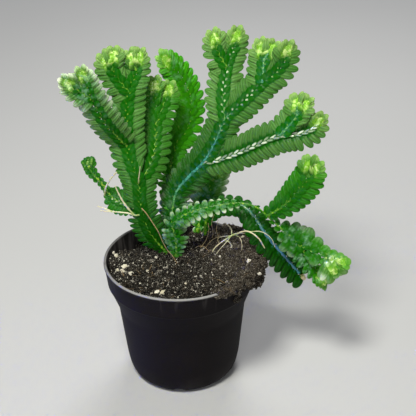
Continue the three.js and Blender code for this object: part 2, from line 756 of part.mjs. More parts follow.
const shootDrooping = {
  stalk: [[13, 18.4, 60], [13, 18.2, 64], [13.1, 17.8, 70]],
  branches: [
    {
      route: [
        [13, 18, 69.4], [14, 16.4, 80], [20, 13.5, 89.5], [31.3, 9, 93], [37.3, 5, 89.8],
        [42.3, 1, 83.1], [46.3, -1.5, 77.9], [52.1, -2, 70.5], [57.9, -2.5, 63], [63.3, -3, 56.1],
      ],
      face: [[-0.3, -0.8, 0.4], [0.3, -0.8, 0.55]],
      leaf: [0, 4, 5.5, 6, 8, 9, 10, 7],
      pitch: 5,
      overlap: 0.35,
    },
  ],
};

const shootBack = {
  stalk: [[9, 25, 58], [9, 24.8, 62], [9.2, 24.6, 70.4]],
  branches: [
    {
      route: [[9.2, 24.7, 69.6], [11.5, 29, 79], [15.5, 32.5, 89], [21, 35.5, 100]],
      face: [[0, -0.95, 0.2], [0.1, -0.9, 0.35]],
      leaf: [2, 7.5, 8.5, 8, 4.5],
      sweep: [0.3, 0.4, 1],
      arms: [[7, 7, -36]],
    },
  ],
};

// The routes of each rhizophore's strands.
const rhizophores = {
  rhizophore_left: [
    [[-23.6, 6.2, 90], [-28, 6.5, 96.6], [-30.5, 6.4, 102.5], [-32, 6.2, 107]],
    [[-20.5, 5.85, 90], [-22.8, 5.9, 89.8], [-26, 6.6, 90.6], [-33, 6.8, 91.5], [-40.5, 6.4, 92.5]],
    [[-34.4, 6.8, 91.7], [-38, 7.6, 93], [-42, 8, 94.5]],
  ],
  rhizophore_front: [
    [
      [-19.2, 5.7, 94], [-17, 3.8, 92.3], [-14, 2, 88], [-11, 0.6, 83], [-9, 0, 77.5],
      [-6.5, -1, 72.5], [-4, -2.6, 70], [-1.6, -3.4, 65], [-1.2, -3.6, 60],
    ],
  ],
  rhizophore_upright: [
    [[-20.2, 8.8, 107], [-20, 7.7, 109.5], [-19.4, 6.5, 113], [-18.7, 5.4, 118]],
  ],
  rhizophore_right: [
    [[27.2, 3, 78.4], [35, -4.5, 85], [40, -7, 82.4], [43.2, -7.5, 76.8]],
    [[27.2, 3, 78.4], [22, 3.4, 74.6], [17, 3.6, 69], [16.4, 3.8, 61]],
    [[22.4, 3.4, 75], [25, 3.6, 74.4], [27.2, 3.2, 70.6], [27.4, 3.2, 64]],
  ],
};

// Plain holes in the mix for the stalks and for the roots: [x, y, radius].
const STALK_HOLE_R = STALK_R + 1.1;
const ROOT_HOLE_R = ROOT_R + 1;
const holes = [
  [-7.2, 8.3, STALK_HOLE_R],
  [-4.8, 12.4, STALK_HOLE_R],
  [-1.8, 4, STALK_HOLE_R],
  [13.1, 18, STALK_HOLE_R],
  [9.1, 24.8, STALK_HOLE_R],
  [-1.3, -3.5, ROOT_HOLE_R],
  [16.8, 3.7, ROOT_HOLE_R],
  [27.3, 3.2, ROOT_HOLE_R],
];

// A plain finish: the name of the material, its colour and its roughness.
const finish = (name, color, roughness) =>
  new THREE.MeshStandardMaterial({ name, color, roughness, metalness: 0 });

const plastic = finish("black plastic", 0x1b1b1e, 0.5);
const mix = finish("potting mix", 0x2a221c, 1);
const leaf = finish("leafy stem", 0x2f8a2a, 0.55);
const root = finish("rhizophore", 0xcfc79a, 0.6);

const plant = new THREE.Group();

function place(name, solid, material) {
  const mesh = new THREE.Mesh(geometryOf(solid), material);
  mesh.name = name;
  plant.add(mesh);
}

place("pot", makePot(), plastic);
place("potting_mix", makeSoil(holes), mix);
place("shoot_left", makeShoot(shootLeft), leaf);
place("shoot_right", makeShoot(shootRight), leaf);
place("shoot_trailing", makeShoot(shootTrailing), leaf);
place("shoot_drooping", makeShoot(shootDrooping), leaf);
place("shoot_back", makeShoot(shootBack), leaf);
for (const [name, strands] of Object.entries(rhizophores)) place(name, makeRhizophore(strands), root);

export default plant;
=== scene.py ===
import math

import bmesh
import bpy
import numpy as np
from mathutils import Matrix, Vector, noise


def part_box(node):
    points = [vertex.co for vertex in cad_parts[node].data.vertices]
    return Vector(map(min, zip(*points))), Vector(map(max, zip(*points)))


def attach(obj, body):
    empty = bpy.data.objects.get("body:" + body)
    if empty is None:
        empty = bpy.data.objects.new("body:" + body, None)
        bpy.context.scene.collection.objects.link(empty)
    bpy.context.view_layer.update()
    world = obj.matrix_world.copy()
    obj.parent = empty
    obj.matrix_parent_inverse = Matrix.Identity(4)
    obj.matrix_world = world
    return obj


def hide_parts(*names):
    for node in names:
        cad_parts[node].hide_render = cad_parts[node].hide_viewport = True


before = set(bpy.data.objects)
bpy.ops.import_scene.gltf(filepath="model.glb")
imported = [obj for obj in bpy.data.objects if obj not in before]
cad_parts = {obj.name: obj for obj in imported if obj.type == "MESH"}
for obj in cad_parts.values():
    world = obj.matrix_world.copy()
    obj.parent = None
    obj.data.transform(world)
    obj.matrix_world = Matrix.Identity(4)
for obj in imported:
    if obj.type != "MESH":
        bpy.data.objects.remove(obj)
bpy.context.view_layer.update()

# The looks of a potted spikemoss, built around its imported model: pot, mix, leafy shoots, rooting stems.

bl_info = {
    "name": "Potted spikemoss",
    "version": (1, 0, 0),
    "blender": (4, 5, 0),
    "location": "3D View > Sidebar > Spikemoss",
    "description": "Builds the looks of a potted spikemoss around its packed model",
    "category": "Object",
}

MM = 0.001
BODY = "root"
POT_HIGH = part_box("pot")[1]

# What short lobes and full branches have in common; the keys are those of SHOOTS.
LOBE = {"sweep": [0.2, 0.5, 0.6], "bare": 0.8}
FULL_SWEEP = [0.45, 0.5, 0.5, 0.6]

# The shoots, in millimetres. A list of values runs at even steps from a branch's foot to its end.
# Its shape: route is the line of the stem, face the way the flat side turns, leaf the length of the side
# leaves, share_left and share_right what each side keeps of that, sweep how far the leaves lean forwards,
# pitch the distance between two pairs, wide and braid the sizes of side leaves and small leaves in shares
# of the usual ones, bare the leafless start, stem the girth in shares, span and youth the length and the
# strength of the young end. Blunt leaves keep their length up to the end; a cut branch has no young end.
# An arm is a young branch that has just parted: distance back from the end, length, turn in degrees.
# Its looks, from 0 to 1: velvet greys the free ends of the leaves, partly their own pale grey, partly a
# painted sheen; lime yellows the branch, and on a branch in shade it is also painted light;
# frost whitens the leaf ends as a painted highlight; sheen is a painted wet-looking
# highlight; gleam whitens the small leaves as a painted highlight; blue and violet are a painted shine on
# the stem; and dim darkens, as painted shade.
SHOOTS = {
    "shoot_left": {
        "stalk": [(-7, 8.5, 58), (-7.2, 8.3, 62), (-8.2, 8, 66.8)],
        "branches": [{
            "route": [
                (-7.5, 8, 65.8), (-15.5, 7, 79), (-19.5, 8, 93), (-20.5, 11, 107.5), (-24, 14, 117),
                (-25.5, 17, 128), (-25, 21, 141), (-23, 23.5, 152), (-19.8, 25.5, 160),
                (-17.8, 27, 168),
            ],
            "face": [(-0.2, -0.9, 0.2), (0, -0.95, 0.25), (0, -0.95, 0.3), (0.1, -0.85, 0.5)],
            "leaf": [2, 7.5, 8, 8, 8.5, 9, 9, 9, 8, 7, 4],
            "sweep": [0.15, 0.4, 0.5, 0.5, 0.6],
            "pitch": [2.4, 2.7, 3.3, 3.6, 3.6, 3.6],
            "wide": [0.5, 0.66, 0.9, 1, 1, 1],
            "arms": [(7, 7, -34)],
            "velvet": [0, 0.15, 0.42, 0.68, 0.74, 0.74],
            "dim": [0.4, 0.35, 0.15, 0, 0, 0],
        }, {
            "route": [(-23.6, 23.3, 150.8), (-29.6, 24, 159), (-34.6, 25, 168)],
            "face": [(0, -0.9, 0.4), (-0.15, -0.85, 0.5)],
            "leaf": [8.5, 8, 7.5, 4],
            **LOBE,
            "arms": [(7, 8, 36)],
            "velvet": [0.8, 0.8],
        }, {
            "route": [
                (-25.2, 16.2, 124), (-29.5, 12.6, 131.5), (-34, 8, 140.5), (-38, 5, 150),
                (-40.5, 3, 157.5), (-42, 2, 164), (-43, 1, 170),
            ],
            "face": [(-0.1, -0.95, 0), (-0.3, -0.8, 0.45), (-0.2, -0.8, 0.5)],
            "leaf": [7, 8.5, 8.5, 8, 7, 4],
            "sweep": FULL_SWEEP,
            "bare": 2,
            "pitch": [4.1, 4.2, 3.6],
            "wide": [0.82, 0.84, 0.95],
            "velvet": [0.9, 0.9, 0.6],
            "frost": [0, 0.1, 0.5, 0.9],
            "sheen": [0, 0.1, 0.4, 0.7],
        }, {
            "route": [(-40, 3.4, 156.2), (-46, 1, 161.4), (-50.5, -1, 166.5)],
            "face": [(-0.3, -0.8, 0.45), (-0.4, -0.7, 0.5)],
            "leaf": [7, 6.5, 3.8],
            "sweep": [0, 0.4, 0.6],
            "bare": 0.8,
            "velvet": [0.8, 0.6],
            "frost": [0.5, 0.9],
            "sheen": [0.5, 0.7],
        }, {
            "route": [
                (-20.3, 10.6, 105.6), (-14.5, 16.5, 113.5), (-12, 23, 121), (-11, 29, 132.5),
                (-11.3, 32, 142), (-11.2, 34, 151),
            ],
            "face": [(0.1, -0.95, 0.3), (0.1, -0.9, 0.4), (0, -0.85, 0.5)],
            "leaf": [8, 8.5, 8, 7.5, 7, 4],
            "sweep": FULL_SWEEP,
            "bare": 2,
            "velvet": [0.4, 0.35, 0.25],
            "lime": [0, 0.2, 0.4],
            "dim": [0.2, 0.15],
        }, {
            "route": [(-11, 28.6, 131.4), (-6.8, 32.5, 140), (-4.2, 35.6, 147.5)],
            "face": [(0.1, -0.9, 0.4), (0.2, -0.85, 0.5)],
            "leaf": [7.5, 7, 4],
            **LOBE,
            "velvet": [0.3, 0.3],
            "lime": [0.3, 0.4],
            "dim": [0.15, 0.1],
        }, {
            # The low sprig at the left: leaves in two bunches, with a bare stretch between them.
            "route": [
                (-19.5, 8.2, 90.8), (-26.5, 12.5, 92), (-34, 14.5, 95), (-39, 15.5, 102.5),
                (-44, 16, 109.5), (-47.5, 17, 115),
            ],
            "face": [(-0.2, -0.75, 0.6), (-0.3, -0.8, 0.4)],
            "leaf": [2.5, 5.5, 6, 1.4, 1.4, 2.8, 1.9],
            "blunt": False,
            "sweep": [0.3, 0.4, 1],
            "bare": 2.5,
            "arms": [(3.5, 4, 40)],
            "pitch": [2.4, 2.6, 3],
            "youth": 0.45,
            "velvet": [0.1, 0.1],
            "gleam": [0.6, 0.5, 0],
            "sheen": [0.2, 0.1],
        }],
    },
    "shoot_right": {
        "stalk": [(-4.6, 12, 58), (-4.8, 12.2, 62), (-4.9, 12.6, 66.6)],
        "branches": [{
            "route": [
                (-5, 12.4, 65.8), (-4.5, 15, 74), (-4, 18, 85), (-1.2, 20, 96), (5.5, 20, 104.5),
                (13, 19.2, 113), (19, 20, 123.5), (24.5, 22, 135.5), (31.5, 20.8, 143.5),
                (38, 20, 150.5), (43.5, 19.5, 156.5), (49, 18.4, 161.5), (53, 17.4, 168),
                (54.5, 17, 174.5),
            ],
            "face": [
                (0, -0.95, 0.2), (-0.15, -0.95, 0.3), (-0.2, -0.9, 0.35), (-0.2, -0.9, 0.35),
                (0.1, -0.9, 0.4),
            ],
            "leaf": [0, 6, 7, 8.5, 9, 9, 9, 8.5, 8.5, 8.5, 8, 7.5, 4],
            "sweep": [0.5, 0.5, 0.5, 0.5, 0.6],
            "velvet": [0, 0, 0.1, 0.3, 0.65, 0.72, 0.65],
            "dim": [0.5, 0.35, 0.4, 0.3, 0.12, 0.1, 0.1],
            "frost": [0.1, 0.35, 0, 0, 0, 0, 0],
            "sheen": [0.2, 0.4, 0.15, 0.05, 0.05, 0.05, 0.05],
            "blue": [0, 0, 0.9, 1, 0.6, 0.1, 0.15, 0.1],
            "gleam": [0.15, 0.15, 0.15, 0.15, 0.3, 0.5, 0.3, 0.15],
        }, {
            "route": [(42.8, 19.6, 155.8), (43.4, 22, 165.5), (42.2, 23.8, 173)],
            "face": [(-0.2, -0.9, 0.35), (-0.2, -0.85, 0.45)],
            "leaf": [8, 7.5, 4],
            **LOBE,
            "arms": [(7, 7.5, 38)],
            "velvet": [0.85, 0.85],
            "blue": [0.5, 0.4, 0],
        }, {
            "route": [
                (24.2, 21.9, 134.8), (23.5, 25, 146), (24.5, 28, 154.5), (26, 30.4, 162),
                (28.8, 32, 169), (30.4, 33, 176.5),
            ],
            "face": [(-0.1, -0.9, 0.4), (0, -0.9, 0.4), (0.2, -0.85, 0.45)],
            "leaf": [8.5, 9, 8.5, 8, 7, 4],
            "sweep": FULL_SWEEP,
            "bare": 1.5,
            "velvet": [0.9, 0.9],
            "blue": [0.2, 0.1, 0],
            "gleam": [0.3, 0.45, 0.3],
        }, {
            "route": [(25.6, 29.9, 160.4), (21.4, 31, 168), (19.2, 32, 176)],
            "face": [(0, -0.9, 0.4), (-0.1, -0.85, 0.5)],
            "leaf": [7.5, 7, 4],
            **LOBE,
        }, {
            "route": [
                (12, 19.3, 111.6), (24, 15.6, 117), (36.5, 11, 124.5), (45, 8, 130), (52.5, 6, 133.2),
                (60.5, 4, 135), (66.5, 2, 138.5), (69.5, 1, 143.5),
            ],
            "face": [(-0.2, -0.85, 0.45), (-0.3, -0.85, 0.4), (-0.25, -0.85, 0.45)],
            "leaf": [7, 8.5, 8.5, 8.5, 8, 7.5, 4],
            "sweep": FULL_SWEEP,
            "bare": 2,
            "velvet": [0.7, 0.75],
            "dim": [0.3, 0.15],
            "gleam": [1, 1, 1, 1],
        }, {
            "route": [(51, 6.4, 132.8), (57.5, 5, 142), (62.8, 5, 150.5)],
            "face": [(-0.3, -0.85, 0.4), (-0.3, -0.8, 0.5)],
            "leaf": [8, 7.5, 4],
            **LOBE,
            "arms": [(7, 7, -36)],
            "velvet": [0.8, 0.8],
            "blue": [0.5, 0.2],
        }, {
            # The arch behind the others, which bulges to the right and turns its edge to the front.
            "route": [
                (-4, 18, 86), (-4.5, 26, 97.5), (-4.5, 33, 106), (-2, 39, 113), (4, 45, 120.5),
                (6.5, 49, 130.5), (4.5, 51, 141), (-0.5, 51, 150.5), (-6.5, 49, 158),
            ],
            "face": [
                (0.1, -0.8, 0.6), (0.4, -0.75, 0.55), (0.6, -0.65, 0.5), (0.35, -0.75, 0.55),
                (0.1, -0.8, 0.6),
            ],
            "leaf": [4, 6.5, 7.5, 9, 9, 8.5, 8, 5],
            "sweep": [0.3, 0.4, 0.5, 0.6],
            "bare": 2,
            "velvet": [0.3, 0.1, 0, 0],
            # Lime here also lightens the arch where the shoots in front shade it, as painted light.
            "lime": [0.5, 0.8, 1, 1],
            "sheen": [0.1, 0.1, 0.15, 0.3],
        }],
    },
    "shoot_trailing": {
        "stalk": [(-1.6, 3.6, 58), (-1.7, 3.8, 62), (-2, 4.4, 66.4)],
        "branches": [{
            "route": [
                (-2, 4.3, 65.6), (-2.2, 3, 76.5), (-3, 2, 86), (2, 1, 91.5), (10.5, 0, 96),
                (20.5, 0, 98), (31, -1, 99.5), (39, -2, 97.6), (45.5, -3, 92), (53.5, -5, 84.5),
                (62.4, -8, 77.2), (72, -11, 73.6), (82.5, -14, 71),
            ],
            "face": [
                (-0.2, -0.9, 0.1), (-0.1, -0.7, 0.6), (-0.1, -0.6, 0.8), (0.1, -0.6, 0.75),
                (0, -0.9, 0.3), (0.2, -0.7, 0.65),
            ],
            "leaf": [2, 6, 5.5, 5, 4.6, 3.4, 0.6, 0.3, 1.5, 6.5, 8, 7.5, 5],
            "share_left": [1, 1, 0.9, 0.8, 0.8, 0.8, 1, 1, 1, 1.1, 1.2, 0.65, 0.8],
            "share_right": [1, 1, 1, 1, 1, 1, 1, 1, 1, 1.1, 0.8, 0.5, 0.7],
            "sweep": [0.1, 0.3, 0.4, 0.4, 0.3, -0.15, 1.2],
            "span": 20,
            "youth": 0.78,
            "arms": [(9, 8.5, 34)],
            "pitch": [2.6, 3.4, 3.8, 4.4, 5, 4],
            "wide": [0.6, 0.8, 0.8, 0.95, 1.6, 1.5],
            "velvet": [0.1, 0.4, 0.5, 0.1, 0, 0.1],
            "lime": [0.2, 0, 0.1, 0.3, 0.2, 1],
            "frost": [0.1, 0.5, 0.9, 0, 0.4, 0],
            "sheen": [0.5, 0.6, 0.4, 0.1, 0.6, 0.2],
            "braid": [0.9, 0.9, 1.1, 1.4, 0.9, 0.8],
            "dim": [0, 0, 0, 0.15, 0.25, 0],
            "stem": 0.72,
            "blue": [0.1, 0.1, 0, 0, 0.1, 0.3],
        }, {
            "route": [(44.6, -2.8, 93), (52, -6, 100), (60, -10, 112), (67, -12.8, 125.5)],
            "face": [(-0.4, -0.8, 0.2), (-0.5, -0.8, 0.3)],
            "leaf": [4, 6.5, 8, 8, 4],
            "sweep": FULL_SWEEP,
            "bare": 1.5,
            "arms": [(7, 7, -30)],
            "velvet": [0.05, 0.05],
            "lime": [0.1, 0.3, 0.6],
            "dim": [0.25, 0.1],
        }, {
            "route": [(61.2, -7.7, 78), (66, -8, 68.5), (73.5, -9, 57.5)],
            "face": [(0.2, -0.85, 0.4), (0.3, -0.75, 0.5)],
            "leaf": [7, 7.5, 6],
            "share_left": [0.8, 0.5, 0.6],
            "share_right": [1, 0.75, 0.75],
            "sweep": [0.7, 1.2],
            "span": 16,
            "youth": 0.78,
            "bare": 1.5,
            "pitch": [4, 3.8],
            "wide": [1.4, 1.4],
            "velvet": [0, 0],
            "lime": [0.1, 0.9],
            "sheen": [0.8, 0.7],
        }],
    },
    "shoot_drooping": {
        "stalk": [(13, 18.4, 60), (13, 18.2, 64), (13.1, 17.8, 70)],
        "branches": [{
            "route": [
                (13, 18, 69.4), (14, 16.4, 80), (20, 13.5, 89.5), (31.3, 9, 93), (37.3, 5, 89.8),
                (42.3, 1, 83.1), (46.3, -1.5, 77.9), (52.1, -2, 70.5), (57.9, -2.5, 63),
                (63.3, -3, 56.1),
            ],
            "face": [(-0.3, -0.8, 0.4), (0.3, -0.8, 0.55)],
            "leaf": [0, 4, 5.5, 6.5, 8, 8.5, 8, 6],
            "share_left": [1, 1, 0.8, 0.5, 0.6, 0.7, 0.7, 0.7],
            "pitch": [4.2, 4.8],
            "wide": [1, 1.4, 1.5],
            "braid": [0.8, 0.65],
            "violet": [0.6, 0.9, 0.4],
            "stem": 1.0,
            "cut": True,
            "velvet": [0, 0],
            "dim": [0.3, 0.35, 0.55, 0.55],
            "blue": [0, 0, 0.4, 1, 1],
        }],
    },
    "shoot_back": {
        "stalk": [(9, 25, 58), (9, 24.8, 62), (9.2, 24.6, 70.4)],
        "branches": [{
            "route": [(9.2, 24.7, 69.6), (11.5, 29, 79), (15.5, 32.5, 89), (21, 35.5, 100)],
            "face": [(0, -0.95, 0.2), (0.1, -0.9, 0.35)],
            "leaf": [2, 7.5, 8.5, 8, 4.5],
            "sweep": [0.3, 0.4, 1],
            "arms": [(7, 7, -36)],
            # This shoot lies in shade behind the others; its lime, end highlight and sheen lighten it as
            # painted light.
            "lime": [0.5, 0.5],
            "frost": [0.6, 0.7],
            "sheen": [0.5, 0.5],
        }],
    },
}

# The rooting stems, in millimetres: the strands of each, the first in the list being the thickest.
RHIZOPHORES = {
    "rhizophore_left": [
        [(-23.6, 6.2, 90), (-28, 6.5, 96.6), (-30.5, 6.4, 102.5), (-32, 6.2, 107)],
        [(-20.5, 5.85, 90), (-22.8, 5.9, 89.8), (-26, 6.6, 90.6), (-33, 6.8, 91.5), (-40.5, 6.4, 92.5)],
        [(-34.4, 6.8, 91.7), (-38, 7.6, 93), (-42, 8, 94.5)],
    ],
    "rhizophore_front": [
        [
            (-19.2, 5.7, 94), (-17, 3.8, 92.3), (-14, 2, 88), (-11, 0.6, 83), (-9, 0, 77.5),
            (-6.5, -1, 72.5), (-4, -2.6, 70), (-1.6, -3.4, 65), (-1.2, -3.6, 60),
        ],
    ],
    "rhizophore_upright": [
        [(-20.2, 8.8, 107), (-20, 7.7, 109.5), (-19.4, 6.5, 113), (-18.7, 5.4, 118)],
    ],
    "rhizophore_right": [
        [(27.2, 3, 78.4), (35, -4.5, 85), (40, -7, 82.4), (43.2, -7.5, 76.8)],
        [(27.2, 3, 78.4), (22, 3.4, 74.6), (17, 3.6, 69), (16.4, 3.8, 61)],
        [(22.4, 3.4, 75), (25, 3.6, 74.4), (27.2, 3.2, 70.6), (27.4, 3.2, 64)],
    ],
}

# Of each rooting stem, its girth in shares of the usual one, and how brown it is, from 0 to 1.
ROOT_LOOKS = {
    "rhizophore_left": (1.1, 0.0),
    "rhizophore_front": (0.5, 0.9),
    "rhizophore_upright": (0.7, 0.2),
    "rhizophore_right": (1.0, 0.15),
}

# The fine roots on the mix at the right, in millimetres: a knot with pale strands, and brown ones behind.
FINE_ROOTS = [
    [(25.4, 3.0, 77.4), (26.8, 2.9, 78.5), (28.6, 2.2, 79.4), (30, 1, 80)],
    [(26.6, 3.4, 78), (24.5, 1.5, 76), (20, -0.5, 71.5), (17.4, -1.6, 68.3)],
    [(25.4, 3.2, 77.2), (28, 3.4, 78.9), (31, 1.6, 80.4), (33.6, -1.4, 82)],
    [(26.8, 3, 78.4), (26.6, 6, 80.5), (23, 9, 83)],
    [(27.4, 2.8, 78.2), (24, 4, 77.4), (20.8, 7, 75), (19, 10.5, 70.5)],
    [(35, -4.5, 84.8), (41.5, -4, 84.4), (46.5, -5.5, 81.5), (48.5, -7, 77)],
    [(28.6, 3.4, 78.4), (31, 1.5, 77.6), (32, -0.5, 74), (31.4, -1.5, 71)],
]
BROWN_ROOTS = [
    [(16.5, 14, 69), (17.2, 12.5, 75), (16.6, 12, 81), (18, 12, 86)],
    [(20.5, 12, 70.5), (19, 13, 76), (20.2, 13.5, 82)],
    [(10, 8, 67.5), (13.5, 10.5, 71.5), (15, 14, 76), (14.2, 17, 81)],
    [(21.5, 5.5, 69.8), (19.6, 7, 73), (20.6, 9.5, 76.5)],
    [(12, 14, 69.8), (11.8, 13, 74), (13.2, 12.5, 78.5)],
    [(24, 12.5, 71), (23, 10, 73.5), (19, 8.5, 74), (15.5, 7.5, 72), (13, 6, 69)],
    [(8, 8, 68), (9, 6.5, 70), (12, 5.5, 70.5), (15, 4, 68.3)],
]

# A pale rooting stem from the low sprig up to the left shoot's leaves.
LEANING_ROOT = [(-38.6, 15, 96.8), (-37.8, 13, 101.8), (-34.8, 11, 108.1), (-31, 9, 113.3)]

CUT_END = [(62.9, -3, 56.7), (64.6, -3.1, 54.6)]  # where the drooping shoot has been cut off

ROOT_SIDES = 8
ROOT_END = 0.6  # the girth of a rooting stem's end, in shares of its start
ROOT_STEP = 0.8  # the distance between two points of a strand, in millimetres
SIDE_STRAND = 0.8  # the girth of a bundle's other strands, in shares of the first

# The strands that stand for no node: routes, the girth of their ends, their girth and how brown they are.
LOOSE_ROOTS = {
    "fine_roots": (FINE_ROOTS, 0.4, 0.62, 0.1),
    "brown_roots": (BROWN_ROOTS, 0.4, 0.5, 0.75),
    "leaning_root": ([LEANING_ROOT], 0.7, 1.0, 0.0),
    "cut_end": ([CUT_END], 0.9, 2.8, 0.5),
}

# Side leaves, in millimetres.
LONGER = 1.06  # how much longer they grow than the branches say
PITCH = 3.6  # the distance from one pair to the next, where a branch gives none
PAST_END = 0.4  # how far past its end a branch still bears leaves
YOUNG_PITCH = 0.3  # the pitch at the end of a branch, in shares of the full one
YOUNG_SPAN = 12  # the length of a branch's young end
END_SPAN = 5  # the last stretch, along which leaves turn forwards
END_SHRINK = 0.55  # the share of its length that the last leaf lacks
BLUNT = 8  # the last stretch of a branch, along which its leaves keep their length
STEM_R = 1.2  # how far from the stem's middle a leaf's room starts
STEM_THINNING = 0.45  # the share of its girth that a stem has lost at its end
TRY = 0.5  # the step in which a leaf's room is tried
FARTHEST = 13  # how far it is tried
FORWARD = (0.0, 0.5, 1.1, 2.0, 3.2)  # how much further forwards a leaf turns to find room, tried in turn
ENOUGH = 0.8  # the share of its full length that ends the trying
ROOM = 0.68  # a leaf stops where another stem is nearer than this share of the way to its own
SIDEWAYS = 0.35  # a stem less than this far round to a leaf's side, from 0 to 1, takes no room
COARSE = 6  # of the points of a stem's line, every sixth is looked at
SHORTEST = 1.1  # a leaf that has less room than this is left out
TIP_LEAN = 3.2  # how far the last leaves lean forwards, for each millimetre outwards

# The looks of a branch, with what one is given that doesn't name them, and its measures.
PLAIN_LOOKS = {
    "velvet": 1.0, "lime": 0.0, "blue": 0.0, "gleam": 0.15, "frost": 0.0, "sheen": 0.05, "dim": 0.0,
    "violet": 0.0,
}
MEASURES = (
    "reach_left", "reach_right", "lean_left", "lean_right", "full", "girth", "step", "young",
    "braid", "wide",
)


class Value:
    """One output of a node. Arithmetic on it adds Math nodes, on vectors and colours Vector Math nodes."""

    def __init__(self, graph, socket):
        self.graph = graph
        self.socket = socket

    def output(self, name):
        """Another output of the same node."""
        outputs = self.socket.node.outputs
        return Value(self.graph, next(s for s in outputs if s.name == name and s.enabled))

    def maths(self, operation, left, right=None):
        """left and right through one node; a number beside a vector counts for all three of its axes."""
        sides = [side for side in (left, right) if side is not None]
        wide = any(isinstance(s, tuple) or (isinstance(s, Value) and s.is_wide()) for s in sides)
        kind = "ShaderNodeVectorMath" if wide else "ShaderNodeMath"
        if wide:
            sides = [(s, s, s) if isinstance(s, (int, float)) else s for s in sides]
        return self.graph.node(kind, {"operation": operation}, dict(enumerate(sides)))

    def is_wide(self):
        """Whether it is a vector or a colour."""
        return self.socket.type in {"VECTOR", "RGBA"}

    def __add__(self, other):
        return self.maths("ADD", self, other)

    __radd__ = __add__

    def __sub__(self, other):
        return self.maths("SUBTRACT", self, other)

    def __rsub__(self, other):
        return self.maths("SUBTRACT", other, self)

    def __mul__(self, other):
        return self.maths("MULTIPLY", self, other)

    __rmul__ = __mul__

    def __pow__(self, other):
        return self.maths("POWER", self, other)

    def wave(self):
        """Its sine, from 0 to 1."""
        return self.maths("SINE", self) * 0.5 + 0.5

    def rise(self, low, high):
        """0 below low, 1 above high and smooth between them."""
        ends = {"Value": self, "From Min": low, "From Max": high}
        return self.graph.node("ShaderNodeMapRange", {"interpolation_type": "SMOOTHSTEP"}, ends)


class Graph:
    """A node tree that is filled through one method."""

    def __init__(self, tree):
        self.tree = tree
        self.tree.nodes.clear()

    def node(self, kind, settings=None, inputs=None):
        """Adds a node. Settings come first, then the values or links of its sockets, by name or number."""
        node = self.tree.nodes.new(kind)
        for name, value in (settings or {}).items():
            setattr(node, name, value)
        for key, value in (inputs or {}).items():
            if isinstance(key, int):
                socket = node.inputs[key]
            else:
                socket = next(s for s in node.inputs if s.name == key and s.enabled)
            for item in value if isinstance(value, list) else [value]:
                if isinstance(item, Value):
                    self.tree.links.new(item.socket, socket)
                elif socket.type == "RGBA" and len(item) == 3:
                    socket.default_value = (*item, 1.0)
                else:
                    socket.default_value = item
        first = next((s for s in node.outputs if s.enabled), None)
        return Value(self, first) if first else None

    def mix(self, share, low, high):
        """A colour between two others."""
        return self.node("ShaderNodeMix", {"data_type": "RGBA"}, {"Factor": share, "A": low, "B": high})

    def noise(self, place, scale, detail=3.0, roughness=0.55):
        """Soft patches, from 0 to 1."""
        inputs = {"Vector": place, "Scale": scale, "Detail": detail, "Roughness": roughness}
        return self.node("ShaderNodeTexNoise", {}, inputs)

    def painted(self, name):
        """A value that the mesh holds at its corners."""
        return self.node("ShaderNodeAttribute", {"attribute_name": name}).output("Fac")

    def place(self):
        """The spot on the object, in metres."""
        return self.node("ShaderNodeTexCoord").output("Object")

    def bump(self, height, strength, distance):
        """The normal of a surface with a fine relief."""
        inputs = {"Height": height, "Strength": strength, "Distance": distance}
        return self.node("ShaderNodeBump", {}, inputs)

    def field(self, name, kind="FLOAT"):
        """A value that the geometry holds at its points."""
        return self.node("GeometryNodeInputNamedAttribute", {"data_type": kind}, {"Name": name})


def finish_of(name, build):
    """A material whose Principled shader takes the sockets that build gives for its graph."""
    material = bpy.data.materials.new(name)
    material.use_nodes = True
    graph = Graph(material.node_tree)
    shader = graph.node("ShaderNodeBsdfPrincipled", {}, build(graph))
    graph.node("ShaderNodeOutputMaterial", {}, {"Surface": shader})
    return material


def lit_patches(graph):
    """Patches of painted highlight, where a growing tip catches the light."""
    return graph.noise(graph.place(), 420.0, 2.0).rise(0.5, 0.6)


def painted_sheen_patches(graph):
    """Patches of painted sheen: highlights where a leaf shines as if it were wet."""
    return graph.noise(graph.place(), 300.0, 2.0).rise(0.46, 0.72)


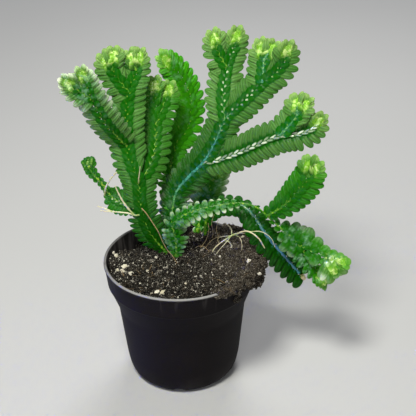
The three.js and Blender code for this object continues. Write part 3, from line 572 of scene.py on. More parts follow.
def leaf_finish(colours):
    """Side leaves: dark by the stem, velvety and finely striped towards the free end, paler when young."""

    def build(graph):
        along = graph.painted("along")
        across = graph.painted("across")
        tone = graph.painted("tone")
        young = graph.painted("young")
        lime = graph.painted("lime")
        frost = graph.painted("frost")
        outer = along.rise(0.18, 0.4)
        stripe = (across * 9.4 + tone * 1.2).wave()
        edge = (across * across).rise(0.5, 1.0)
        grain = graph.noise(graph.place(), 1400.0)
        # Dark by the stem: partly the leaf's own deep green, partly painted shade of the groove there.
        deep = graph.mix(tone * 0.5 + grain * 0.3, colours.deep, colours.fresh)
        # Velvet: partly the leaf end's own pale grey, partly a painted sheen.
        pale = graph.mix(graph.painted("velvet") * (0.7 + tone * 0.3), colours.fresh, colours.velvet)
        pale = pale * (0.7 + stripe * 0.28)
        colour = graph.mix(outer, deep, pale)
        colour = graph.mix(edge * outer * 0.2, colour, colours.velvet)
        # Painted shadow: both edges of a leaf are darkened, less towards its free end, where the next leaf
        # overlaps it.
        gap = (across * across).rise(0.6, 0.98) * (1 - along.rise(0.7, 1.0))
        colour = colour * (1 - gap * 0.5)
        colour = graph.mix(lime * (0.4 + along * 0.5), colour, colours.lime)
        growing = young.rise(0.45, 1.0)
        colour = graph.mix(growing * (1 - along.rise(0.1, 0.6)) * 0.85, colour, colours.young)
        colour = graph.mix(growing * along.rise(0.3, 0.9) * 0.4, colour, colours.young_edge)
        # Painted highlight on the growing tips.
        lit = growing * lit_patches(graph) * (1 - along.rise(0.2, 0.6))
        colour = graph.mix(lit * 0.5, colour, colours.painted_tip_highlight)
        # Painted highlight: the leaf ends are whitened as if they caught the light.
        colour = graph.mix(frost * along.rise(0.55, 0.95) * (0.3 + tone * 0.7), colour, colours.frost)
        # Painted sheen: wet-looking highlights painted into the leaf's colour.
        painted_sheen_mask = graph.painted("sheen") * painted_sheen_patches(graph)
        colour = graph.mix(painted_sheen_mask * (0.3 + stripe * 0.4), colour, colours.sheen)
        colour = graph.mix(graph.painted("under") * 0.5, colour, colours.under)
        # Painted shade: branches that lie in the others' shade are darkened in their colour.
        colour = colour * (1 - graph.painted("dim"))
        relief = stripe * outer * 0.8 + grain * 0.3
        return {
            "Base Color": colour,
            "Roughness": 0.3 + outer * 0.12 - frost * 0.12,
            "Normal": graph.bump(relief, 0.6, 0.0003),
            "Subsurface Weight": 0.08,
            "Subsurface Scale": 0.0006,
            "Subsurface Radius": (0.5, 1.0, 0.2),
            "Specular IOR Level": 0.1,
        }

    return finish_of("spikemoss side leaf", build)


def small_leaf_finish(colours):
    """The small leaves along a stem: glossy deep green, each with a light spot at its root."""

    def build(graph):
        along = graph.painted("along")
        across = graph.painted("across")
        tone = graph.painted("tone")
        young = graph.painted("young")
        blue = graph.painted("blue")
        gleam = graph.painted("gleam")
        middle = 1 - (across * across).rise(0.0, gleam * gleam * 0.3 + 0.12)
        spot = (1 - along.rise(gleam * gleam * 0.55 + 0.05, gleam * gleam * 0.65 + 0.2)) * middle
        vein = middle * (1 - along) * 0.05
        grain = graph.noise(graph.place(), 1500.0)
        colour = graph.mix(tone * 0.3 + grain * 0.2, colours.deep, colours.fresh)
        colour = graph.mix(vein, colour, colours.braid)
        colour = graph.mix(spot * tone.rise(0.3, 1.0) * 0.7, colour, colours.braid)
        # Painted blue shine at the roots of the small leaves.
        colour = graph.mix(blue * (1 - along.rise(0.0, 0.5)) * 0.35, colour, colours.blue)
        # Painted highlight: where a branch gleams, the spot at a small leaf's root is whitened.
        white = gleam.rise(0.1, 0.6) * (gleam * 0.4 + tone.rise(0.35, 0.65) * 0.7)
        colour = graph.mix(spot * white, colour, colours.gleam)
        colour = graph.mix(graph.painted("lime") * 0.35, colour, colours.lime)
        growing = (young + along * 0.3).rise(0.45, 1.0)
        colour = graph.mix(growing * (0.55 + tone * 0.3), colour, colours.young)
        colour = graph.mix(growing * along.rise(0.4, 1.0) * (0.3 + tone * 0.6), colour, colours.young_edge)
        # Painted highlight on the growing tips.
        colour = graph.mix(growing * lit_patches(graph) * 0.6, colour, colours.painted_tip_highlight)
        # Painted sheen on the small leaves as well.
        colour = graph.mix(graph.painted("sheen") * painted_sheen_patches(graph) * 0.5, colour, colours.sheen)
        # Painted shade, as on the side leaves.
        colour = colour * (1 - graph.painted("dim"))
        return {
            "Base Color": colour,
            "Roughness": 0.3 + tone * 0.12,
            "Normal": graph.bump(grain * 0.6 + middle * 0.5, 0.3, 0.0002),
            "Specular IOR Level": 0.05,
            "Coat Weight": gleam * gleam * 0.4 + young * 0.6,
            "Coat Roughness": 0.2,
        }

    return finish_of("spikemoss small leaf", build)


def stem_finish(colours):
    """Stems: yellow-green, here and there with a painted blue shine."""

    def build(graph):
        grain = graph.noise(graph.place(), 700.0)
        colour = graph.mix(grain.rise(0.5, 0.66) * 0.8 + 0.1, colours.fresh, colours.braid)
        # Painted shine: lighter and darker blue streaks where a stem is marked blue, some of it violet.
        streak = (grain + graph.noise(graph.place(), 260.0) * 0.6).rise(0.68, 0.96)
        blue = graph.mix(streak, colours.blue_dark, colours.blue)
        blue = graph.mix(graph.painted("violet"), blue, colours.violet)
        colour = graph.mix(graph.painted("blue") * 0.95, colour, blue)
        return {
            "Base Color": colour,
            "Roughness": 0.3 + grain * 0.2,
            "Normal": graph.bump(grain, 0.2, 0.0002),
            "Coat Weight": graph.painted("blue") * 0.6,
            "Coat Roughness": 0.2,
        }

    return finish_of("spikemoss stem", build)


def rhizophore_finish(colours):
    """Rooting stems: smooth and pale straw, greener where they leave the stem, browner at their ends."""

    def build(graph):
        along = graph.painted("along")
        grain = graph.noise(graph.place(), 900.0)
        colour = graph.mix(along.rise(0.0, 0.35), colours.root_green, colours.root)
        brown = graph.painted("brown")
        colour = graph.mix(along.rise(0.7, 1.0) * 0.2 + grain * 0.1 + brown, colour, colours.root_brown)
        return {
            "Base Color": colour,
            "Roughness": 0.42 + grain * 0.2,
            "Normal": graph.bump(grain, 0.3, 0.0002),
            "Subsurface Weight": 0.1,
            "Subsurface Scale": 0.0005,
        }

    return finish_of("rooting stem", build)


# Bands of the pot's finish, in metres from the lip down or from the ground up.
LIP_BAND_FROM, LIP_BAND_TO = 0.0009, 0.0002
SCUFFED = 0.012
DUSTY = 0.016


def plastic_finish(colours):
    """Thin black polypropylene: moulding grain, faint rings, dust, scuffs, a worn lip that is lighter at
    the front as a painted highlight, and an inner wall lightened as a painted reflection.
    """

    def build(graph):
        place = graph.place()
        parts = graph.node("ShaderNodeSeparateXYZ", {}, {"Vector": place})
        height = parts.output("Z")
        cloud = graph.noise(place, 60.0, 5.0)
        grain = graph.noise(place, 2600.0, 2.0)
        streaks = graph.noise(place * (260.0, 260.0, 18.0), 1.0, 4.0)
        rings = (height * 5200.0 + cloud * 3.0).wave()
        top = POT_HIGH[2]
        # The lip is partly worn and partly a painted highlight: it is made lighter towards the front.
        front = (parts.output("Y") * -1.0).rise(-0.02, 0.035)
        lip = height.rise(top - LIP_BAND_FROM, top - LIP_BAND_TO) * cloud.rise(0.25, 0.45) * (0.35 + front * 0.65)
        scuff = height.rise(top - SCUFFED, top) * streaks.rise(0.56, 0.72) * 0.35
        dust = (1 - height.rise(0.0, DUSTY)) * cloud.rise(0.4, 0.7) * 0.25 + streaks.rise(0.6, 0.8) * 0.03
        colour = graph.mix(cloud * 0.7 + grain.rise(0.5, 0.7) * 0.5, colours.plastic, colours.plastic_light)
        normal = graph.node("ShaderNodeNewGeometry").output("Normal")
        # Painted reflection: the inner wall is lightened with the dust colour, in streaks.
        inside = place.maths("DOT_PRODUCT", place * (-1.0, -1.0, 0.0), normal).rise(0.0, 0.01)
        inside = inside * (0.2 + streaks.rise(0.42, 0.66))
        colour = graph.mix(dust + scuff + inside, colour, colours.dust)
        colour = graph.mix(lip * 0.9, colour, colours.worn)
        relief = grain * 0.6 + rings * 0.12 + cloud * 0.5
        return {
            "Base Color": colour,
            "Roughness": 0.56 + cloud * 0.12 + lip * 0.1 + dust * 0.2,
            "Normal": graph.bump(relief, 0.25, 0.0002),
            "Specular IOR Level": 0.06,
        }

    return finish_of("black pot plastic", build)


def mix_finish(colours):
    """Potting mix: black damp peat with brown crumbs, pale grit and painted glints, paler where it has
    dried.
    """

    def build(graph):
        place = graph.place()
        dry = graph.painted("dry")
        tone = graph.painted("tone")
        coarse = graph.noise(place, 520.0, 4.0, 0.65)
        fine = graph.noise(place, 2100.0, 4.0, 0.7)
        colour = graph.mix(coarse.rise(0.42, 0.66), colours.peat, colours.peat_brown)
        colour = graph.mix(tone.rise(0.5, 0.75) * 0.9, colour, colours.peat_brown)
        colour = graph.mix(tone.rise(0.74, 0.9) * 0.7, colour, colours.peat_dry)
        colour = graph.mix(dry * (0.08 + fine.rise(0.42, 0.7) * 0.4 + tone * 0.2), colour, colours.peat_dry)
        # Pale crumbs and fine specks over the mix: partly pale grit, partly painted glints.
        painted_glint_and_grit = tone.rise(0.8, 0.86) * (1 - dry * 0.8) + fine.rise(0.58, 0.63) * 0.45
        colour = graph.mix(painted_glint_and_grit * 0.9, colour, colours.grit)
        return {
            "Base Color": colour,
            "Roughness": 0.5 + fine * 0.35 + dry * 0.15,
            "Normal": graph.bump(fine * 0.7 + coarse * 0.6, 1.0, 0.0009),
            "Specular IOR Level": 0.08,
        }

    return finish_of("potting mix", build)


def perlite_finish(colours):
    """Perlite: white foamy grit, with mix in its pores."""

    def build(graph):
        place = graph.place()
        pores = graph.node("ShaderNodeTexVoronoi", {}, {"Vector": place, "Scale": 2600.0})
        stain = graph.noise(place, 500.0, 3.0)
        colour = graph.mix(stain.rise(0.45, 0.75) * 0.7, colours.perlite, colours.perlite_stained)
        colour = graph.mix(graph.painted("tone").rise(0.6, 1.0) * 0.5, colour, colours.perlite_stained)
        return {
            "Base Color": colour,
            "Roughness": 0.7 + stain * 0.2,
            "Normal": graph.bump(pores, 0.6, 0.0003),
        }

    return finish_of("perlite", build)


def fibre_finish(colours):
    """Coir threads and bark splinters."""

    def build(graph):
        tone = graph.painted("tone")
        grain = graph.noise(graph.place(), 1200.0)
        return {
            "Base Color": graph.mix(tone * 0.8 + grain * 0.2, colours.fibre_dark, colours.fibre),
            "Roughness": 0.7 + grain * 0.2,
            "Normal": graph.bump(grain, 0.4, 0.0002),
        }

    return finish_of("coir thread", build)


def floor_finish(colours):
    """A pale floor, which shines by itself far from the plant, where no lamp reaches."""

    def build(graph):
        place = graph.place()
        haze = graph.noise(place, 3.0)
        colour = graph.mix(haze, colours.floor, colours.floor_far)
        distance = place.maths("LENGTH", place)
        return {
            "Base Color": colour,
            "Roughness": 0.8 + haze * 0.1,
            "Emission Color": colour * (distance.rise(0.35, 1.5) * 0.9),
            "Emission Strength": 1.0,
        }

    return finish_of("pale studio floor", build)


def geometry_graph(name, inputs):
    """An empty geometry tree with named inputs, as (graph, values of the inputs)."""
    tree = bpy.data.node_groups.new(name, "GeometryNodeTree")
    graph = Graph(tree)
    for label, kind in inputs.items():
        tree.interface.new_socket(name=label, in_out="INPUT", socket_type="NodeSocket" + kind)
    tree.interface.new_socket(name="Geometry", in_out="OUTPUT", socket_type="NodeSocketGeometry")
    first = graph.node("NodeGroupInput")
    return graph, {label: first.output(label) for label in inputs}


def end_tree(graph, parts):
    """Closes a geometry tree: each (instances, material) pair is made real and gets its material."""
    ready = []
    for geometry, material in parts:
        real = graph.node("GeometryNodeRealizeInstances", {}, {"Geometry": geometry})
        ready.append(graph.node("GeometryNodeSetMaterial", {}, {"Geometry": real, "Material": material}))
    joined = graph.node("GeometryNodeJoinGeometry", {}, {"Geometry": ready})
    graph.node("NodeGroupOutput", {}, {"Geometry": joined})
    return graph.tree


def random_vector(graph, seed, size=1.0):
    """A vector of its own for each point or instance, each axis from -size to size."""
    ends = {"Min": (-size, -size, -size), "Max": (size, size, size), "Seed": seed}
    return graph.node("FunctionNodeRandomValue", {"data_type": "FLOAT_VECTOR"}, ends)


def random_number(graph, seed, low, high):
    """A number of its own for each point or instance."""
    ends = {"Min": low, "Max": high, "Seed": seed}
    return graph.node("FunctionNodeRandomValue", {"data_type": "FLOAT"}, ends)


def toned(graph, instances, seed, palest=1.0):
    """Instances with a random tone of their own, from 0 to the palest."""
    inputs = {"Geometry": instances, "Name": "tone", "Value": random_number(graph, seed, 0.0, palest)}
    settings = {"data_type": "FLOAT", "domain": "INSTANCE"}
    return graph.node("GeometryNodeStoreNamedAttribute", settings, inputs)


def shape_of(graph, thing):
    """The geometry of an object that a tree is given."""
    return graph.node("GeometryNodeObjectInfo", {}, {"Object": thing}).output("Geometry")


def tube_along(graph, line, radius, sides, scale):
    """A smooth round tube along a curve, closed at its ends."""
    circle = {"Resolution": sides, "Radius": radius}
    ring = graph.node("GeometryNodeCurvePrimitiveCircle", {"mode": "RADIUS"}, circle)
    tube = {"Curve": line, "Profile Curve": ring, "Scale": scale, "Fill Caps": True}
    mesh = graph.node("GeometryNodeCurveToMesh", {}, tube)
    return graph.node("GeometryNodeSetShadeSmooth", {}, {"Geometry": mesh, "Shade Smooth": True})


def leaf_row(graph, given, shape, offset, way, up, size, present, number):
    """A leaf at each station: way is where it points, up where its upper face turns."""
    moved = {"Geometry": given["Stations"], "Offset": offset}
    points = graph.node("GeometryNodeSetPosition", {}, moved)
    seed, wobble = given["Seed"] + number, given["Unevenness"]
    axes = {
        "Primary Axis": way + random_vector(graph, seed) * wobble,
        "Secondary Axis": up + random_vector(graph, seed + 50) * wobble,
    }
    turn = graph.node("FunctionNodeAxesToRotation", {"primary_axis": "X", "secondary_axis": "Z"}, axes)
    scale = graph.node("ShaderNodeCombineXYZ", {}, dict(enumerate(size)))
    leaves = graph.node("GeometryNodeInstanceOnPoints", {}, {
        "Points": points, "Selection": present, "Instance": shape, "Rotation": turn, "Scale": scale,
    })
    return toned(graph, leaves, seed + 90)


STEM_SIDES = 8


def leafy_stem_tree():
    """Side leaves and small leaves along the stations of a shoot, and the stem that bears them."""
    graph, given = geometry_graph("leafy stem", {
        "Stations": "Geometry", "Leaf": "Object", "Small Leaf": "Object", "Stem Radius": "Float",
        "Leaf Width": "Float", "Small Leaf Length": "Float", "Small Leaf Width": "Float",
        "Shingle": "Float", "Unevenness": "Float", "Seed": "Int",
        "Leaf Finish": "Material", "Small Leaf Finish": "Material", "Stem Finish": "Material",
    })
    grow = graph.field("grow", "FLOAT_VECTOR")
    face = graph.field("face", "FLOAT_VECTOR")
    girth = graph.field("girth")
    wide = graph.field("wide")
    young = graph.field("young")
    blue = graph.field("blue")
    gleam = graph.field("gleam")
    right = grow.maths("CROSS_PRODUCT", grow, face)
    radius = given["Stem Radius"]

    line = graph.node("GeometryNodeMeshToCurve", {}, {"Mesh": given["Stations"]})
    line = graph.node("GeometryNodeCurveSplineType", {"spline_type": "CATMULL_ROM"}, {"Curve": line})
    line = graph.node("GeometryNodeSetSplineResolution", {}, {"Geometry": line, "Resolution": 3})
    stem = tube_along(graph, line, radius, STEM_SIDES, girth * (blue * 0.35 + 1.0))
    leaf = shape_of(graph, given["Leaf"])
    small = shape_of(graph, given["Small Leaf"])
    side_rows = []
    small_rows = []
    for number, (side, label) in enumerate(((-1.0, "left"), (1.0, "right"))):
        outward = right * side
        reach = graph.field("reach_" + label)
        lean = graph.field("lean_" + label)
        step = graph.field("step") * (side * 0.25)
        way = outward + grow * lean + face * (young * 0.12)
        up = face + grow * given["Shingle"] - outward * (lean * given["Shingle"])
        # A leaf that leans forwards is narrower, and so is a short one.
        narrow = (1 + lean * lean) ** -0.1
        grown = 0.6 + reach.maths("MINIMUM", reach * 48.0, 0.45)
        half = given["Leaf Width"] * 0.5 * wide * narrow * grown * (1 + young * 0.12)
        size = (reach + radius * 0.5, half, reach)
        offset = outward * (radius * 0.4) + grow * step
        present = reach.maths("GREATER_THAN", reach, SHORTEST * MM)
        side_rows.append(leaf_row(graph, given, leaf, offset, way, up, size, present, number))
        # The small leaves lie on the stem and point outwards, the less the more they gleam.
        way = grow + outward * (0.72 - gleam * 0.5) + face * 0.05
        up = face - outward * 0.05
        braid = graph.field("braid")
        share = (0.25 + graph.field("full") * 85.0) * braid
        length = given["Small Leaf Length"] * share * (1 - young * 0.5)
        across = given["Small Leaf Width"] * 0.5 * share * (1 - gleam * gleam * 0.4) * (1 + young * 0.15)
        size = (length, across, length)
        height = radius * girth * 0.4 + share * 0.3 * MM
        aside = radius * (0.62 - gleam * 0.5 + blue * 0.7) * girth
        offset = outward * aside + face * height + grow * step
        present = braid.maths("GREATER_THAN", braid, 0.1)
        small_rows.append(leaf_row(graph, given, small, offset, way, up, size, present, number + 10))
    side_leaves = graph.node("GeometryNodeJoinGeometry", {}, {"Geometry": side_rows})
    small_leaves = graph.node("GeometryNodeJoinGeometry", {}, {"Geometry": small_rows})
    return end_tree(graph, [
        (side_leaves, given["Leaf Finish"]),
        (small_leaves, given["Small Leaf Finish"]),
        (stem, given["Stem Finish"]),
    ])


def strand_tree():
    """Round strands along their routes, thinning as their girth says."""
    graph, given = geometry_graph("round strands", {
        "Routes": "Geometry", "Radius": "Float", "Sides": "Int", "Finish": "Material",
    })
    line = graph.node("GeometryNodeMeshToCurve", {}, {"Mesh": given["Routes"]})
    strand = tube_along(graph, line, given["Radius"], given["Sides"], graph.field("girth"))
    return end_tree(graph, [(strand, given["Finish"])])


def scatter_tree():
    """Grains strewn over a surface, as thickly as a value on it says."""
    graph, given = geometry_graph("strewn grains", {
        "Surface": "Geometry", "Grain": "Object", "Density": "Float", "Smallest": "Float",
        "Largest": "Float", "Tumble": "Float", "Sink": "Float", "Seed": "Int", "Palest": "Float",
        "Finish": "Material",
    })
    seed = given["Seed"]
    density = given["Density"] * graph.field("strewn")
    points = graph.node("GeometryNodeDistributePointsOnFaces", {}, {
        "Mesh": given["Surface"], "Density": density, "Seed": seed,
    })
    size = random_number(graph, seed + 1, 0.0, 1.0)
    size = given["Smallest"] + (given["Largest"] - given["Smallest"]) * size * size
    sunk = points.output("Normal") * (size * given["Sink"] * -1.0)
    placed = graph.node("GeometryNodeSetPosition", {}, {"Geometry": points, "Offset": sunk})
    tumble = random_vector(graph, seed + 2) * given["Tumble"]
    spin = graph.node("ShaderNodeCombineXYZ", {}, {"Z": random_number(graph, seed + 3, 0.0, math.tau)})
    turn = graph.node("FunctionNodeEulerToRotation", {}, {"Euler": tumble + spin})
    both = {"Rotation": points.output("Rotation"), "Rotate By": turn}
    turn = graph.node("FunctionNodeRotateRotation", {"rotation_space": "LOCAL"}, both)
    uneven = random_vector(graph, seed + 4, 0.3) + (1.0, 1.0, 1.0)
    grain = shape_of(graph, given["Grain"])
    grains = graph.node("GeometryNodeInstanceOnPoints", {}, {
        "Points": placed, "Instance": grain, "Rotation": turn, "Scale": uneven * size,
    })
    return end_tree(graph, [(toned(graph, grains, seed + 5, given["Palest"]), given["Finish"])])


def run_tree(source, tree, values):
    """The plain mesh that a geometry tree makes of an object, with its inputs set by their identifiers."""
    modifier = source.modifiers.new(tree.name, "NODES")
    modifier.node_group = tree
    for item in tree.interface.items_tree:
        if item.in_out == "INPUT" and item.name in values:
            modifier[item.identifier] = values[item.name]
    mesh = applied(source)
    source.modifiers.remove(modifier)
    return mesh


def applied(source):
    """The evaluated mesh of an object, as a plain mesh."""
    depsgraph = bpy.context.evaluated_depsgraph_get()
    evaluated = source.evaluated_get(depsgraph)
    return bpy.data.meshes.new_from_object(evaluated, preserve_all_data_layers=True, depsgraph=depsgraph)


def linked(name, mesh):
    """A new object of a mesh, in the scene."""
    thing = bpy.data.objects.new(name, mesh)
    bpy.context.scene.collection.objects.link(thing)
    return thing


def piece(name, mesh, nodes=()):
    """A finished piece of the plant, which rides on the body and stands for the CAD nodes it replaces."""
    thing = linked(name, mesh)
    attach(thing, BODY)
    if nodes:
        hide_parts(*nodes)
    return thing


def paint(mesh, name, values, kind="FLOAT"):
    """Stores a value at each of a mesh's corners."""
    layer = mesh.attributes.new(name, kind, "POINT")
    member = "vector" if kind == "FLOAT_VECTOR" else "value"
    layer.data.foreach_set(member, np.asarray(values, np.float32).ravel())


def mesh_of(name, points, faces=(), edges=()):
    """A new mesh of given corners."""
    mesh = bpy.data.meshes.new(name)
    mesh.from_pydata([tuple(p) for p in points], [tuple(e) for e in edges], [tuple(f) for f in faces])
    return mesh


def mesh_from(work, name):
    """A new mesh of what a bmesh holds, which is then let go."""
    mesh = bpy.data.meshes.new(name)
    work.to_mesh(mesh)
    work.free()
    return mesh


def ring_faces(first, rings, sides):
    """The faces between rings of corners that follow one another."""
    faces = []
    for i in range(rings - 1):
        for k in range(sides):
            a = first + i * sides + k
            b = first + i * sides + (k + 1) % sides
            faces.append((a, b, b + sides, a + sides))
    return faces


def vectors_of(items, member):
    """A vector of each corner of a mesh, such as its place."""
    values = np.empty(len(items) * 3, np.float32)
    items.foreach_get(member, values)
    return values.reshape(-1, 3)


class Route:
    """A smooth line through given points, measured along its length, in millimetres."""

    def __init__(self, points):
        self.samples = smooth_line(points)
        steps = np.linalg.norm(np.diff(self.samples, axis=0), axis=1)
        self.marks = np.concatenate(([0.0], np.cumsum(steps)))
        self.length = float(self.marks[-1])

    def inside(self, u):
        """The point at a distance along the route, held at its ends."""
        return np.stack([np.interp(u, self.marks, self.samples[:, k]) for k in range(3)], -1)

    def way(self, u):
        """The direction of growth at a distance along the route."""
        u = np.clip(u, 0.0, self.length)
        ahead = self.inside(np.minimum(u + 0.5, self.length)) - self.inside(np.maximum(u - 0.5, 0.0))
        return ahead / np.linalg.norm(ahead, axis=-1, keepdims=True)

    def at(self, u):
        """The point at a distance along the route, straight on past its ends."""
        past = u - np.clip(u, 0.0, self.length)
        return self.inside(u) + self.way(u) * past[..., None]


def smooth_line(points, steps=20):
    """A centripetal Catmull-Rom line through points."""
    p = np.asarray(points, float)
    p = np.vstack((2 * p[0] - p[1], p, 2 * p[-1] - p[-2]))
    rises = np.diff(p, axis=0)
    gaps = np.sqrt(np.linalg.norm(rises, axis=1))
    slopes = rises / gaps[:, None]
    t = np.linspace(0, 1, steps, endpoint=False)[:, None]
    line = []
    for i in range(1, len(p) - 2):
        before, here, after = gaps[i - 1], gaps[i], gaps[i + 1]
        start = (slopes[i - 1] - (p[i + 1] - p[i - 1]) / (before + here) + slopes[i]) * here
        end = (slopes[i] - (p[i + 2] - p[i]) / (here + after) + slopes[i + 1]) * here
        bend = (3 * rises[i] - 2 * start - end) * t**2
        line.append(p[i] + start * t + bend + (start + end - 2 * rises[i]) * t**3)
    return np.vstack((*line, p[-2]))


def spread(values, share):
    """A value, number or vector, given at even steps, at a share of the way."""
    values = np.asarray(values, float)
    steps = np.linspace(0, 1, len(values))
    if values.ndim == 1:
        return np.interp(share, steps, values)
    return np.stack([np.interp(share, steps, values[:, k]) for k in range(values.shape[1])], -1)


def ease(value, low, high):
    """0 below low, 1 above high and smooth between them."""
    share = np.clip((value - low) / (high - low), 0.0, 1.0)
    return share * share * (3 - 2 * share)


def axes_at(branch, u):
    """The direction of growth, the face and the direction to its right, at distances along a branch."""
    route = branch["line"]
    grow = route.way(u)
    face = spread(branch["face"], np.clip(u / route.length, 0, 1))
    face = face - grow * np.sum(face * grow, -1, keepdims=True)
    face /= np.linalg.norm(face, axis=-1, keepdims=True)
    return grow, face, np.cross(grow, face)


def young_arms(branch):
    """The short arms that have just parted from a branch near its end."""
    arms = []
    length = branch["line"].length
    for back, reach, turn in branch.get("arms", ()):
        u = np.array([length - back])
        grow, face, right = (axis[0] for axis in axes_at(branch, u))
        start = branch["line"].at(u)[0]
        angle = math.radians(turn)
        way = grow * math.cos(angle) + right * math.sin(angle)
        size = branch["leaf"][-1]
        arms.append({
            **branch,
            "route": [start, start + way * reach * 0.5 + face * reach * 0.06, start + way * reach],
            "face": [face, face + way * 0.3],
            "leaf": [size * 1.7, size * 1.65, size],
            "sweep": [0.4, 0.65],
            "bare": 1.2,
            "arms": (),
        })
    return arms


def lay_out(branch):
    """Puts a branch's stations in place: each bears a pair of side leaves and a pair of small leaves."""
    line = branch["line"]
    bare = branch.get("bare", 0.0)
    pitch = branch.get("pitch", (PITCH, PITCH))
    cut = branch.get("cut", False)
    marks = []
    u = bare
    while u < line.length + PAST_END:
        marks.append(u)
        young = 0.0 if cut else float(ease(u, line.length - YOUNG_SPAN, line.length))
        u += float(spread(pitch, u / line.length)) * (1 + (YOUNG_PITCH - 1) * young)
    u = np.array(marks)
    share = (u - bare) / (line.length - bare)
    grow, face, right = axes_at(branch, u)
    span = branch.get("span", YOUNG_SPAN)
    young = ease(u, line.length - span, line.length + 1) * (0.0 if cut else branch.get("youth", 1.0))
    end = ease(u, line.length - END_SPAN, line.length + 0.5) * (0.0 if cut else 1.0)
    before_end = spread(branch["leaf"], 1 - BLUNT / max(line.length, BLUNT))
    full = spread(branch["leaf"], share) * LONGER
    if branch.get("blunt", not cut):
        kept = np.maximum(full, before_end * (1 - END_SHRINK * end))
        full = np.where(u > line.length - BLUNT, kept, full)
    lean = spread(branch.get("sweep", (0.3, 0.45)), share)
    branch.update(
        u=u, place=line.at(u), grow=grow, face_at=face, right=right, young=young,
        lean=lean + (TIP_LEAN - lean) * end**1.7,
        full=full,
        girth=(1.0 - STEM_THINNING * share) * branch.get("stem", 1.0),
        step=np.gradient(u),
    )


def room_for(branch, others, side):
    """How far forwards the side leaves lean and how long they are, where they come up to another stem."""
    outward = branch["right"] * side
    tries = np.arange(TRY, FARTHEST, TRY)
    start = branch["place"] + outward * STEM_R
    aside_of = branch["place"][:, None]
    reach = np.zeros(len(outward))
    lean = branch["lean"].copy()
    for extra in FORWARD:
        tried = branch["lean"] + extra
        way = outward + branch["grow"] * tried[:, None]
        way /= np.linalg.norm(way, axis=-1, keepdims=True)
        p = start[:, None] + way[:, None] * tries[None, :, None]
        own = nearest(branch["line"], p)[0]
        blocked = np.zeros(own.shape, bool)
        for other in others:
            far, q = nearest(other["line"], p)
            aside = q - aside_of
            aside /= np.linalg.norm(aside, axis=-1, keepdims=True) + 1e-9
            blocked |= (far <= own * ROOM) & (np.sum(aside * outward[:, None], -1) > SIDEWAYS)
        free = np.where(blocked.any(1), tries[np.argmax(blocked, 1)] - TRY, tries[-1])
        free = np.minimum(free, branch["full"])
        better = (reach < branch["full"] * ENOUGH) & (free > reach + TRY)
        reach = np.where(better, free, reach)
        lean = np.where(better, tried, lean)
    return np.where(reach < SHORTEST, 0.0, reach), lean


def nearest(line, p):
    """The distance from points to a line, and where on the line it is reached."""
    samples = line.samples[::COARSE]
    gaps = np.linalg.norm(p[..., None, :] - samples, axis=-1)
    best = np.argmin(gaps, -1)
    return np.take_along_axis(gaps, best[..., None], -1)[..., 0], samples[best]


def stations_of(shoot):
    """A shoot as a mesh of stations along its branches, with what grows at each as values on them."""
    grown = [dict(branch, line=Route(branch["route"])) for branch in shoot["branches"]]
    arms = [arm for branch in grown for arm in young_arms(branch)]
    for arm in arms:
        arm["line"] = Route(arm["route"])
    branches = grown + arms
    for branch in branches:
        lay_out(branch)
    columns = {name: [] for name in (*MEASURES, *PLAIN_LOOKS)}
    places, grows, faces, edges = [], [], [], []

    def add(place, grow, face, values):
        first = sum(len(block) for block in places)
        places.append(place)
        grows.append(grow)
        faces.append(face)
        edges.extend((first + i, first + i + 1) for i in range(len(place) - 1))
        for name, column in columns.items():
            column.append(np.broadcast_to(values.get(name, 0.0), len(place)))

    for branch in branches:
        others = [other for other in branches if other is not branch]
        share = np.clip(branch["u"] / branch["line"].length, 0, 1)

        def along(name, level=1.0):
            return spread(branch.get(name, (level, level)), share)

        values = {name: along(name, level) for name, level in PLAIN_LOOKS.items()}
        for side, label in ((-1.0, "left"), (1.0, "right")):
            reach, lean = room_for(branch, others, side)
            values["reach_" + label] = reach * along("share_" + label) * MM
            values["lean_" + label] = lean
        values.update(
            full=branch["full"] * MM, girth=branch["girth"], step=branch["step"] * MM,
            young=branch["young"], wide=along("wide"), braid=along("braid"),
        )
        add(branch["place"], branch["grow"], branch["face_at"], values)
        if branch.get("bare"):
            back = np.array([0.0, branch["bare"]])
            grow, face, _ = axes_at(branch, back)
            add(branch["line"].at(back), grow, face, {"girth": 1.0, "blue": values["blue"][0]})
    stalk = Route(shoot["stalk"])
    u = np.linspace(0, stalk.length, 5)
    grow = stalk.way(u)
    add(stalk.at(u), grow, np.broadcast_to((0.0, -1.0, 0.0), grow.shape), {"girth": 1.5})
    mesh = mesh_of("stations", np.vstack(places) * MM, edges=edges)
    paint(mesh, "grow", np.vstack(grows), "FLOAT_VECTOR")
    paint(mesh, "face", np.vstack(faces), "FLOAT_VECTOR")
    for name, column in columns.items():
        paint(mesh, name, np.concatenate(column))
    return mesh


def blade(name, outline, columns, height, thickness):
    """A thin closed leaf of unit length along X. Outline gives its half width at shares of its length."""
    points, along, across, under = [], [], [], []
    rows = len(outline)

    def put(i, j, level):
        x, half = outline[i]
        y = -1 + 2 * j / (columns - 1)
        points.append((x, y * half, height(x, y) + level * thickness * (1 - y * y) ** 0.5))
        along.append(x)
        across.append(y)
        under.append(1.0 if level < 0 else 0.0)
        return len(points) - 1

    spots = [(i, j) for i in range(rows) for j in range(columns)]
    edge = {(i, j) for i, j in spots if i in (0, rows - 1) or j in (0, columns - 1)}
    top = {spot: put(*spot, 0.0 if spot in edge else 0.5) for spot in spots}
    low = {spot: top[spot] if spot in edge else put(*spot, -0.5) for spot in top}
    faces = []
    for i in range(rows - 1):
        for j in range(columns - 1):
            square = ((i, j), (i + 1, j), (i + 1, j + 1), (i, j + 1))
            faces.append([top[spot] for spot in square])
            faces.append([low[spot] for spot in reversed(square)])
    mesh = mesh_of(name, points, faces)
    for label, values in (("along", along), ("across", across), ("under", under)):
        paint(mesh, label, values)
    mesh.shade_smooth()
    mesh.set_sharp_from_angle(angle=math.radians(60))
    return linked(name, mesh)


